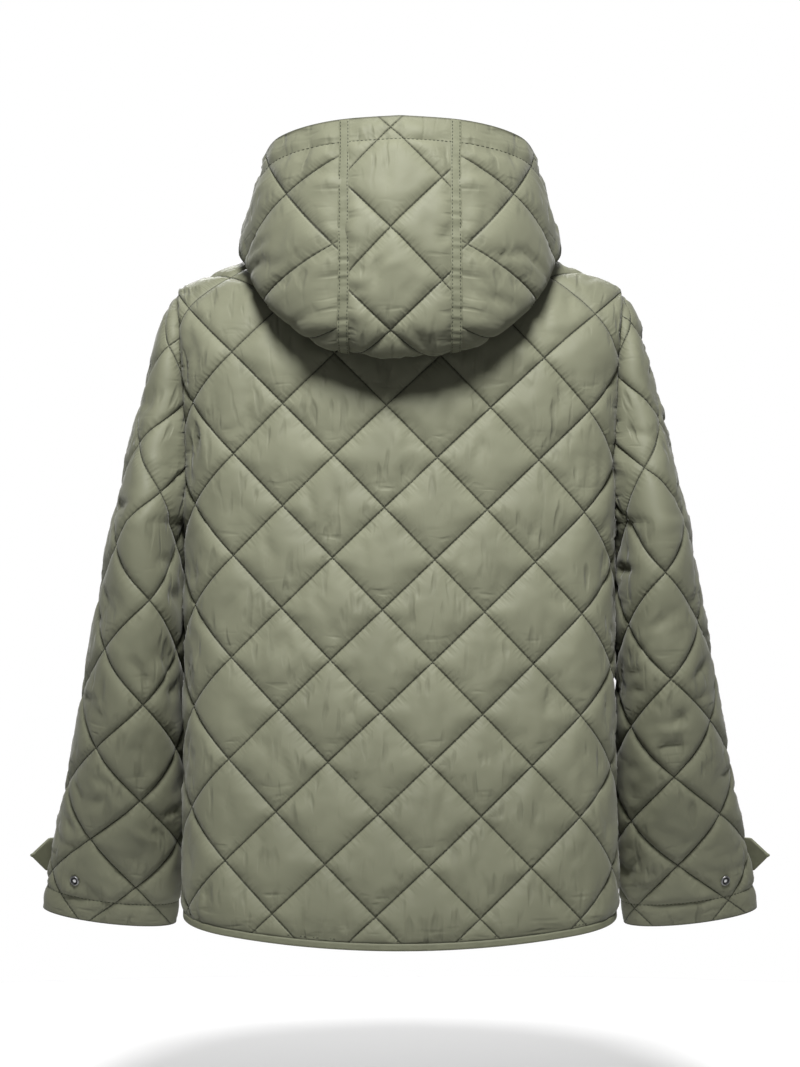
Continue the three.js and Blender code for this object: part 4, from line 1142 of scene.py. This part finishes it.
def quilted_rows(panel):
    """Starts and ends, on the flat cloth, of the stitches along every quilted line of a panel."""
    quilt, outline = QUILTS[panel["quilt"]], panel["outline"]
    low_high = [(math.floor(c.min()), math.ceil(c.max())) for c in lattice(quilt, *outline.T)]
    step = STITCH_STEP * math.sqrt(2) / QUILT_PITCH
    starts, ends = [], []
    for turn in (0, 1):
        (low, high), (from_, to) = low_high[turn], low_high[1 - turn]
        for line in range(low, high + 1):
            t = np.arange(from_, to, step) + 0.3 * step
            for found, at in ((starts, t), (ends, t + step)):
                held = np.full_like(at, line)
                uv = (held, at) if turn == 0 else (at, held)
                found.append(np.stack(from_lattice(quilt, *uv), axis=-1))
    starts, ends = np.concatenate(starts), np.concatenate(ends)
    keep = inside(starts, outline) & inside(ends, outline)
    starts, ends = starts[keep], ends[keep]
    clear = np.minimum(line_place(starts, outline)[0], line_place(ends, outline)[0]) > panel["margin"] + 1
    for pad in panel["pads"]:
        clear &= np.hypot(*(starts - pad).T) > STUD_PAD + 4
    if panel["quilt"] == "front":
        clear &= starts[:, 0] > PLACKET_HALF
    return starts[clear], ends[clear]


def sewn(name, source, mirrored=False):
    """All the thread on a panel."""
    panel = PANELS[source]
    starts, ends = quilted_rows(panel)
    for hem in panel["hems"] + panel.get("rows", []):
        spots = along_rows(hem)
        starts, ends = np.concatenate([starts, spots[:-1]]), np.concatenate([ends, spots[1:]])
    form, none = panel["form"], np.zeros(len(starts))
    a, b = form(*starts.T, none), form(*ends.T, none)
    out = form(*starts.T, none + 1) - a
    return stitches(name, handed(a, mirrored), handed(b, mirrored), handed(out, mirrored))


def placed_rows(name, place, rows, mirrored=False):
    """Thread along flat rows (along, rise) of a strip's top, at the height out."""
    starts, ends, outs = [], [], []
    for line, out in rows:
        spots = along_rows(np.array(line, float), 3.6)
        level = np.full(len(spots), out)
        here, above = place(*spots.T, level), place(*spots.T, level + 1)
        starts.append(here[:-1])
        ends.append(here[1:])
        outs.append((above - here)[:-1])
    return stitches(name, *(np.concatenate(part) for part in (starts, ends, outs)))


def hem_rows(plan, middle, start, end):
    across = np.linspace(start, end, 80)
    return np.stack([across, hem_up(plan, middle, across) + BINDING + 2.6], axis=-1)


PANELS["back"]["rows"] = [hem_rows(back_form, HEM_BACK, -back_form.side + 2, back_form.side - 2)]
PANELS["front_left"]["rows"] = [hem_rows(front_form, HEM_FRONT, PLACKET_HALF + 2, front_form.side - 2)]
threads = {
    name: sewn(f"thread_{name}", source, name.endswith("right"))
    for name, source in [
        ("back", "back"), ("front_left", "front_left"), ("front_right", "front_left"),
        ("sleeve_left", "sleeve_left"), ("sleeve_right", "sleeve_right"),
        ("hood_centre", "hood_centre"), ("hood_side_left", "hood_side_left"),
        ("hood_side_right", "hood_side_left"),
    ]
}
edge_row = TAB_HALF - 3
tab_line = [
    (6, -edge_row), (6, edge_row), (TAB_LENGTH - TAB_POINT, edge_row), (TAB_LENGTH - 4.5, 0),
    (TAB_LENGTH - TAB_POINT, -edge_row), (6, -edge_row),
]
placket_rows = [([(2, side), (PLACKET_LENGTH - 2, side)], PLACKET_WALL) for side in (-19, 19)]
threads["placket"] = placed_rows("thread_placket", placket_place, placket_rows)
for hand in ("left", "right"):
    mirrored = hand == "right"
    threads[f"tab_{hand}"] = placed_rows(
        f"thread_tab_{hand}", tab_place(mirrored), [(tab_line, TAB_WALL)]
    )
    seam_rows = [([(1, side), (hood_seam_length - 2, side)], SEAM_THICK) for side in (-3.1, 3.1)]
    threads[f"hood_seam_{hand}"] = placed_rows(f"thread_hood_seam_{hand}", seam_place(mirrored), seam_rows)

# %% [markdown]
# ## Press studs
#
# A stud's cap is pressed from thin steel: a rolled rim, a sunk ring and a small raised eye. It could be
# a stack of cylinders, but the metal is one turned shape, so its profile is drawn once and spun round.
# Where each stud sits and which way it faces is measured on the solid that it stands for.


# %% Spin the studs
STUD_PROFILE = [
    (0, 0), (4.9, 0), (5.2, 0.35), (5.2, 1.35), (4.85, 1.95), (4.3, 2.15), (3.75, 1.95), (3.4, 1.3),
    (2.9, 0.95), (2.3, 1.0), (1.9, 1.5), (1.3, 1.85), (0.6, 1.75), (0, 1.65),
]


def stud(name):
    corners = np.array([v.co[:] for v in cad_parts[name].data.vertices])
    middle = corners.mean(axis=0)
    axes = np.linalg.svd(corners - middle)[2]
    axis = Vector(axes[2])
    if axis.dot(Vector(middle) - Vector((0, 0, middle[2]))) < 0 and not name.startswith("stud_tab"):
        axis = -axis
    if name.startswith("stud_tab") and axis.y > 0:
        axis = -axis
    low = min((Vector(c) - Vector(middle)).dot(axis) for c in corners)
    bm = bmesh.new()
    ring = [bm.verts.new((r, 0, z)) for r, z in STUD_PROFILE]
    edges = [bm.edges.new(pair) for pair in zip(ring, ring[1:])]
    bmesh.ops.spin(
        bm, geom=ring + edges, cent=(0, 0, 0), axis=(0, 0, 1), angle=2 * math.pi, steps=40, use_merge=True
    )
    bmesh.ops.remove_doubles(bm, verts=bm.verts, dist=0.001)
    bmesh.ops.recalc_face_normals(bm, faces=bm.faces)
    bmesh.ops.scale(bm, vec=(MM, MM, MM), verts=bm.verts)
    reach = [math.hypot(v.co.x, v.co.y) / MM for v in bm.verts]
    turn = axis.to_track_quat("Z", "Y").to_matrix()
    bmesh.ops.rotate(bm, cent=(0, 0, 0), matrix=turn, verts=bm.verts)
    bmesh.ops.translate(bm, vec=Vector(middle) + axis * low, verts=bm.verts)
    mesh = bpy.data.meshes.new(name)
    bm.to_mesh(mesh)
    bm.free()
    mesh.shade_smooth()
    mesh.attributes.new("reach", "FLOAT", "POINT").data.foreach_set("value", reach)
    obj = new_object(name + "_cap", mesh)
    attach(obj, "root")
    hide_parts(name)
    return obj


studs = [stud(name) for name in sorted(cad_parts) if name.startswith("stud_")]
print(len(studs), "studs")

# %% [markdown]
# ## What was cut
#
# The size and area of each panel's flat cut were kept as it was made.

for obj, cut, area in cuts:
    name = obj.name.removesuffix("_cloth")
print(len(cuts) + 6, "sheets")

# %% [markdown]
# ## Finishes
#
# The shell is a thin nylon with a soft satin sheen. Close up it has a plain weave and fine short creases,
# and its colour is darkened with painted shade in the stitched valleys, crease troughs and seams. A
# photographed texture would do that in one step, but can't follow the cut; here the pattern reads each
# panel's own flat coordinates, which bend with the cloth.

# %% Node helpers
def node(tree, kind, **settings):
    made = tree.nodes.new(kind)
    for key, value in settings.items():
        setattr(made, key, value)
    return made


def maths(tree, operation, *values):
    made = node(tree, "ShaderNodeMath", operation=operation)
    for socket, value in zip(made.inputs, values):
        if isinstance(value, (int, float)):
            socket.default_value = value
        else:
            tree.links.new(value, socket)
    return made.outputs[0]


def ramp(tree, value, low, high, start=0.0, end=1.0):
    """value from low to high becomes start to end, eased and held at the ends."""
    made = node(tree, "ShaderNodeMapRange", interpolation_type="SMOOTHSTEP")
    tree.links.new(value, made.inputs["Value"])
    for socket, number in zip(made.inputs[1:5], (low, high, start, end)):
        socket.default_value = number
    return made.outputs["Result"]


def noise(tree, vector, scale, detail=2.0, stretch=(1, 1, 1)):
    spread = node(tree, "ShaderNodeVectorMath", operation="MULTIPLY")
    tree.links.new(vector, spread.inputs[0])
    spread.inputs[1].default_value = stretch
    made = node(tree, "ShaderNodeTexNoise")
    tree.links.new(spread.outputs[0], made.inputs["Vector"])
    made.inputs["Scale"].default_value = scale
    made.inputs["Detail"].default_value = detail
    return made.outputs["Fac"]


def combine(tree, x, y, z=0.0):
    made = node(tree, "ShaderNodeCombineXYZ")
    for socket, value in zip(made.inputs, (x, y, z)):
        if isinstance(value, (int, float)):
            socket.default_value = value
        else:
            tree.links.new(value, socket)
    return made.outputs[0]


def new_group(name, outputs):
    group = bpy.data.node_groups.new(name, "ShaderNodeTree")
    for socket in outputs:
        group.interface.new_socket(name=socket, in_out="OUTPUT", socket_type="NodeSocketFloat")
    return group, group.nodes.new("NodeGroupOutput")


# %% Stitched valleys
DIAMOND_SIDE = QUILT_PITCH / math.sqrt(2)


def valley_group():
    """Millimetres to the nearest stitched line, small puckers square to it, and a diamond's foot."""
    group, result = new_group("stitched_valleys", ["Distance", "Pucker", "Foot"])
    quilt = node(group, "ShaderNodeUVMap", uv_map="quilt")
    split = node(group, "ShaderNodeSeparateXYZ")
    group.links.new(quilt.outputs[0], split.inputs[0])
    distances, puckers = [], []
    for first, second in ((0, 1), (1, 0)):
        across, along = split.outputs[first], split.outputs[second]
        away = maths(group, "MULTIPLY", maths(group, "PINGPONG", across, 0.5), DIAMOND_SIDE)
        line = maths(group, "MULTIPLY", maths(group, "ROUND", across), 9.37)
        spot = combine(group, maths(group, "MULTIPLY", along, DIAMOND_SIDE), line, 4.0 * first)
        wave = noise(group, spot, 0.26, 1.0)
        fade = ramp(group, away, 0.6, 13.0, 1.0, 0.0)
        distances.append(away)
        puckers.append(maths(group, "MULTIPLY", maths(group, "SUBTRACT", wave, 0.5), fade))
    shares = [maths(group, "FRACT", split.outputs[i]) for i in (0, 1)]
    foot = ramp(group, maths(group, "SUBTRACT", shares[1], shares[0]), 0.3, 0.7)
    group.links.new(maths(group, "MINIMUM", *distances), result.inputs["Distance"])
    group.links.new(maths(group, "ADD", *puckers), result.inputs["Pucker"])
    group.links.new(foot, result.inputs["Foot"])
    return group


def crumple_group():
    """Upright and level streaks of creased nylon, weave, and slow changes of shade, on the flat cloth."""
    group, result = new_group("nylon_crumple", ["Upright", "Level", "Shade", "Weave"])
    cloth = node(group, "ShaderNodeUVMap", uv_map="cloth").outputs[0]
    patches = ramp(group, noise(group, cloth, 17.0, 0.0), 0.38, 0.62)
    upright = ramp(group, noise(group, cloth, 105.0, 1.0, (1.0, 0.24, 1)), 0.52, 0.74)
    level = ramp(group, noise(group, cloth, 120.0, 1.0, (0.26, 1.0, 1)), 0.5, 0.76, 0.0, 0.6)
    split = node(group, "ShaderNodeSeparateXYZ")
    group.links.new(cloth, split.inputs[0])
    threads_mm = [maths(group, "MULTIPLY", split.outputs[i], 1000.0) for i in (0, 1)]
    weave = [maths(group, "PINGPONG", thread, 0.28) for thread in threads_mm]
    group.links.new(maths(group, "MULTIPLY", upright, patches), result.inputs["Upright"])
    group.links.new(level, result.inputs["Level"])
    group.links.new(noise(group, cloth, 14.0, 3.0), result.inputs["Shade"])
    group.links.new(maths(group, "MAXIMUM", *weave), result.inputs["Weave"])
    return group


valleys, crumple = valley_group(), crumple_group()
print("groups:", valleys.name, crumple.name)


# %% Nylon, thread and steel
def new_material(name, colour, roughness, metallic=0.0):
    material = bpy.data.materials.new(name)
    material.use_nodes = True
    shader = material.node_tree.nodes["Principled BSDF"]
    shader.inputs["Base Color"].default_value = (*colour, 1)
    shader.inputs["Roughness"].default_value = roughness
    shader.inputs["Metallic"].default_value = metallic
    return material, material.node_tree, shader


def tinted(tree, colour, factor):
    """The colour, made lighter or darker by a factor."""
    made = node(tree, "ShaderNodeVectorMath", operation="SCALE")
    made.inputs[0].default_value = colour
    tree.links.new(factor, made.inputs["Scale"])
    return made.outputs[0]


def bumped(tree, shader, height, strength=1.0):
    """Height is in millimetres."""
    made = node(tree, "ShaderNodeBump")
    made.inputs["Distance"].default_value = MM
    made.inputs["Strength"].default_value = strength
    tree.links.new(height, made.inputs["Height"])
    tree.links.new(made.outputs[0], shader.inputs["Normal"])


SHELL_COLOUR = (0.113, 0.1155, 0.0785)
TRIM_COLOUR = (0.104, 0.107, 0.072)


def quilted_nylon():
    material, tree, shader = new_material("quilted_nylon", SHELL_COLOUR, 0.5)
    lines = node(tree, "ShaderNodeGroup", node_tree=valleys)
    creased = node(tree, "ShaderNodeGroup", node_tree=crumple)
    edge = node(tree, "ShaderNodeAttribute", attribute_name="edge").outputs["Fac"]
    away = lines.outputs["Distance"]
    # painted shade: the colour darkens to 0.45 at each stitched line and clears 1.1 mm from it, for the shade
    # in the quilting valleys
    valley_shade = ramp(tree, away, 0.1, 1.1, 0.45, 1.0)
    gathered = maths(tree, "MAXIMUM", lines.outputs["Foot"], ramp(tree, edge, 4.0, 26.0, 1.0, 0.0))
    troughs = maths(tree, "MULTIPLY_ADD", creased.outputs["Level"], gathered, creased.outputs["Upright"])
    # painted shade: crease troughs darken the colour, for the shade that falls in them
    slope = maths(tree, "MULTIPLY_ADD", troughs, -0.13, 1.0)
    # painted shade: the colour darkens to 0.42 at the panel's edge and on its cut edge, for the shade in the
    # seams
    seam = ramp(tree, edge, 0.0, 2.6, 0.42, 1.0)
    shade = maths(tree, "MULTIPLY_ADD", creased.outputs["Shade"], 0.34, 0.83)
    # base colour: the painted shade of valleys, crease troughs and seams, times a random mottling of tone
    dark = maths(tree, "MULTIPLY", maths(tree, "MULTIPLY", valley_shade, slope), shade)
    dark = maths(tree, "MULTIPLY", dark, seam)
    tree.links.new(tinted(tree, SHELL_COLOUR, dark), shader.inputs["Base Color"])
    rough = maths(tree, "MULTIPLY_ADD", creased.outputs["Shade"], 0.16, 0.52)
    tree.links.new(rough, shader.inputs["Roughness"])
    shader.inputs["Specular IOR Level"].default_value = 0.16
    shader.inputs["Sheen Weight"].default_value = 0.08
    shader.inputs["Sheen Roughness"].default_value = 0.4
    flat_part = ramp(tree, away, 2.0, 12.0)
    height = maths(tree, "MULTIPLY", maths(tree, "MULTIPLY", troughs, -1.3), flat_part)
    height = maths(tree, "MULTIPLY_ADD", lines.outputs["Pucker"], 1.0, height)
    height = maths(tree, "MULTIPLY_ADD", creased.outputs["Weave"], 0.05, height)
    height = maths(tree, "ADD", height, ramp(tree, away, 0.0, 1.8, -0.5, 0.0))
    bumped(tree, shader, height)
    return material


def grained(name, colour, roughness, metallic, grain, depth, vary, ring_shaded=False):
    """A finish without its own flat coordinates: fine grain and slow change through the solid. A
    ring_shaded one has painted shade in its sunk ring, from 1.9 to 3.8 mm from the middle, and a darker rim."""
    material, tree, shader = new_material(name, colour, roughness, metallic)
    place = node(tree, "ShaderNodeTexCoord").outputs["Object"]
    fine, slow = noise(tree, place, grain, 3.0), noise(tree, place, 90.0, 2.0)
    factor = maths(tree, "MULTIPLY_ADD", slow, vary, 1 - vary / 2)
    if ring_shaded:
        reach = node(tree, "ShaderNodeAttribute", attribute_name="reach").outputs["Fac"]
        # painted shade: the sunk ring keeps only 5% of the steel colour and the rim 40%; only the raised eye
        # keeps it all
        into = ramp(tree, reach, 1.5, 2.2, 1.0, 0.0)
        rim = ramp(tree, reach, 3.6, 4.6, 0.0, 0.35)
        factor = maths(tree, "MULTIPLY", factor, maths(tree, "ADD", maths(tree, "ADD", into, rim), 0.05))
    tree.links.new(tinted(tree, colour, factor), shader.inputs["Base Color"])
    tree.links.new(maths(tree, "MULTIPLY_ADD", slow, 0.2, roughness - 0.1), shader.inputs["Roughness"])
    if not metallic:
        shader.inputs["Specular IOR Level"].default_value = 0.16
    bumped(tree, shader, maths(tree, "MULTIPLY_ADD", fine, depth, maths(tree, "MULTIPLY", slow, depth * 6)))
    return material


nylon = quilted_nylon()
trim_nylon = grained("trim_nylon", TRIM_COLOUR, 0.56, 0.0, 1500.0, 0.08, 0.3)
# the thread's near-black colour is partly its own and partly painted shade of the dimples where the stitches
# sink into the cloth
thread_finish = grained("dark_thread", (0.028, 0.03, 0.02), 0.65, 0.0, 4000.0, 0.05, 0.3)
steel = grained("stud_steel", (0.55, 0.55, 0.56), 0.32, 1.0, 3000.0, 0.01, 0.25, ring_shaded=True)
for obj in cloths:
    obj.data.materials.append(nylon)
for obj in (binding, placket, *tabs.values(), *hood_seams.values()):
    obj.data.materials.append(trim_nylon)
for obj in threads.values():
    obj.data.materials.append(thread_finish)
for obj in studs:
    obj.data.materials.append(steel)
print(len(bpy.data.materials), "materials")

# %% [markdown]
# ## Studio
#
# The jacket was photographed from behind, straight on, against white, with a long lens. A pale floor
# lies under it, and one strong soft lamp stands above the camera, so that every diamond is lit from
# above and shades off at its foot, and the hood throws a soft shadow on the back. Only the wall
# straight behind the jacket is white, and the rest of the room is dim, so the shadows stay deep. A sky
# picture would also light it softly, but plain lamps keep the folds easy to read and move.

# %% Floor, lamps and camera
FLOOR_LEVEL, FLOOR_RADIUS = -0.86, 1.5
bm = bmesh.new()
bmesh.ops.create_circle(bm, cap_ends=True, segments=96, radius=FLOOR_RADIUS)
bmesh.ops.translate(bm, vec=(0, 0, FLOOR_LEVEL), verts=bm.verts)
mesh = bpy.data.meshes.new("studio_floor")
bm.to_mesh(mesh)
bm.free()
floor = new_object("studio_floor", mesh)
floor_paint = bpy.data.materials.new("pale_floor")
floor_paint.use_nodes = True
floor_paint.node_tree.nodes["Principled BSDF"].inputs["Base Color"].default_value = (0.75, 0.75, 0.75, 1)
floor_paint.node_tree.nodes["Principled BSDF"].inputs["Roughness"].default_value = 0.9
mesh.materials.append(floor_paint)


def lamp(name, kind, place, target, power, **settings):
    data = bpy.data.lights.new(name, kind)
    data.energy = power
    for key, value in settings.items():
        setattr(data, key, value)
    obj = new_object(name, data)
    obj.location = place
    obj.rotation_euler = (Vector(target) - Vector(place)).to_track_quat("-Z", "Y").to_euler()
    return obj


MIDDLE = (0, 0, -0.3)
lamps = [
    lamp(
        "high_key", "SPOT", (0, 2.2, 1.95), (0, 0, -0.2), 1330,
        spot_size=math.radians(30), spot_blend=1.0, shadow_soft_size=0.5,
    ),
    lamp("front_fill", "AREA", (0.3, -2.8, 1.7), MIDDLE, 90, shape="DISK", size=1.6),
    lamp("top", "AREA", (0, 0.2, 2.6), MIDDLE, 5, shape="DISK", size=1.6),
]

world = bpy.data.worlds.new("white_studio")
bpy.context.scene.world = world
world.use_nodes = True
world.node_tree.nodes["Background"].inputs["Color"].default_value = (1, 1, 1, 1)
tree = world.node_tree
split = node(tree, "ShaderNodeSeparateXYZ")
tree.links.new(node(tree, "ShaderNodeTexCoord").outputs["Generated"], split.inputs[0])
wall = ramp(tree, split.outputs[1], -0.985, -0.94, 1.0, 0.3)
tree.links.new(wall, tree.nodes["Background"].inputs["Strength"])

camera_data = bpy.data.cameras.new("camera")
camera_data.lens, camera_data.sensor_width = 151.8, 36
camera = new_object("camera", camera_data)
camera.location = (0, 4.5, -0.2685)
camera.rotation_euler = (math.pi / 2, 0, math.pi)
bpy.context.scene.camera = camera
bpy.context.scene.view_settings.view_transform = "Standard"
print(len(lamps), "lamps, camera", camera.location.y, "m away")
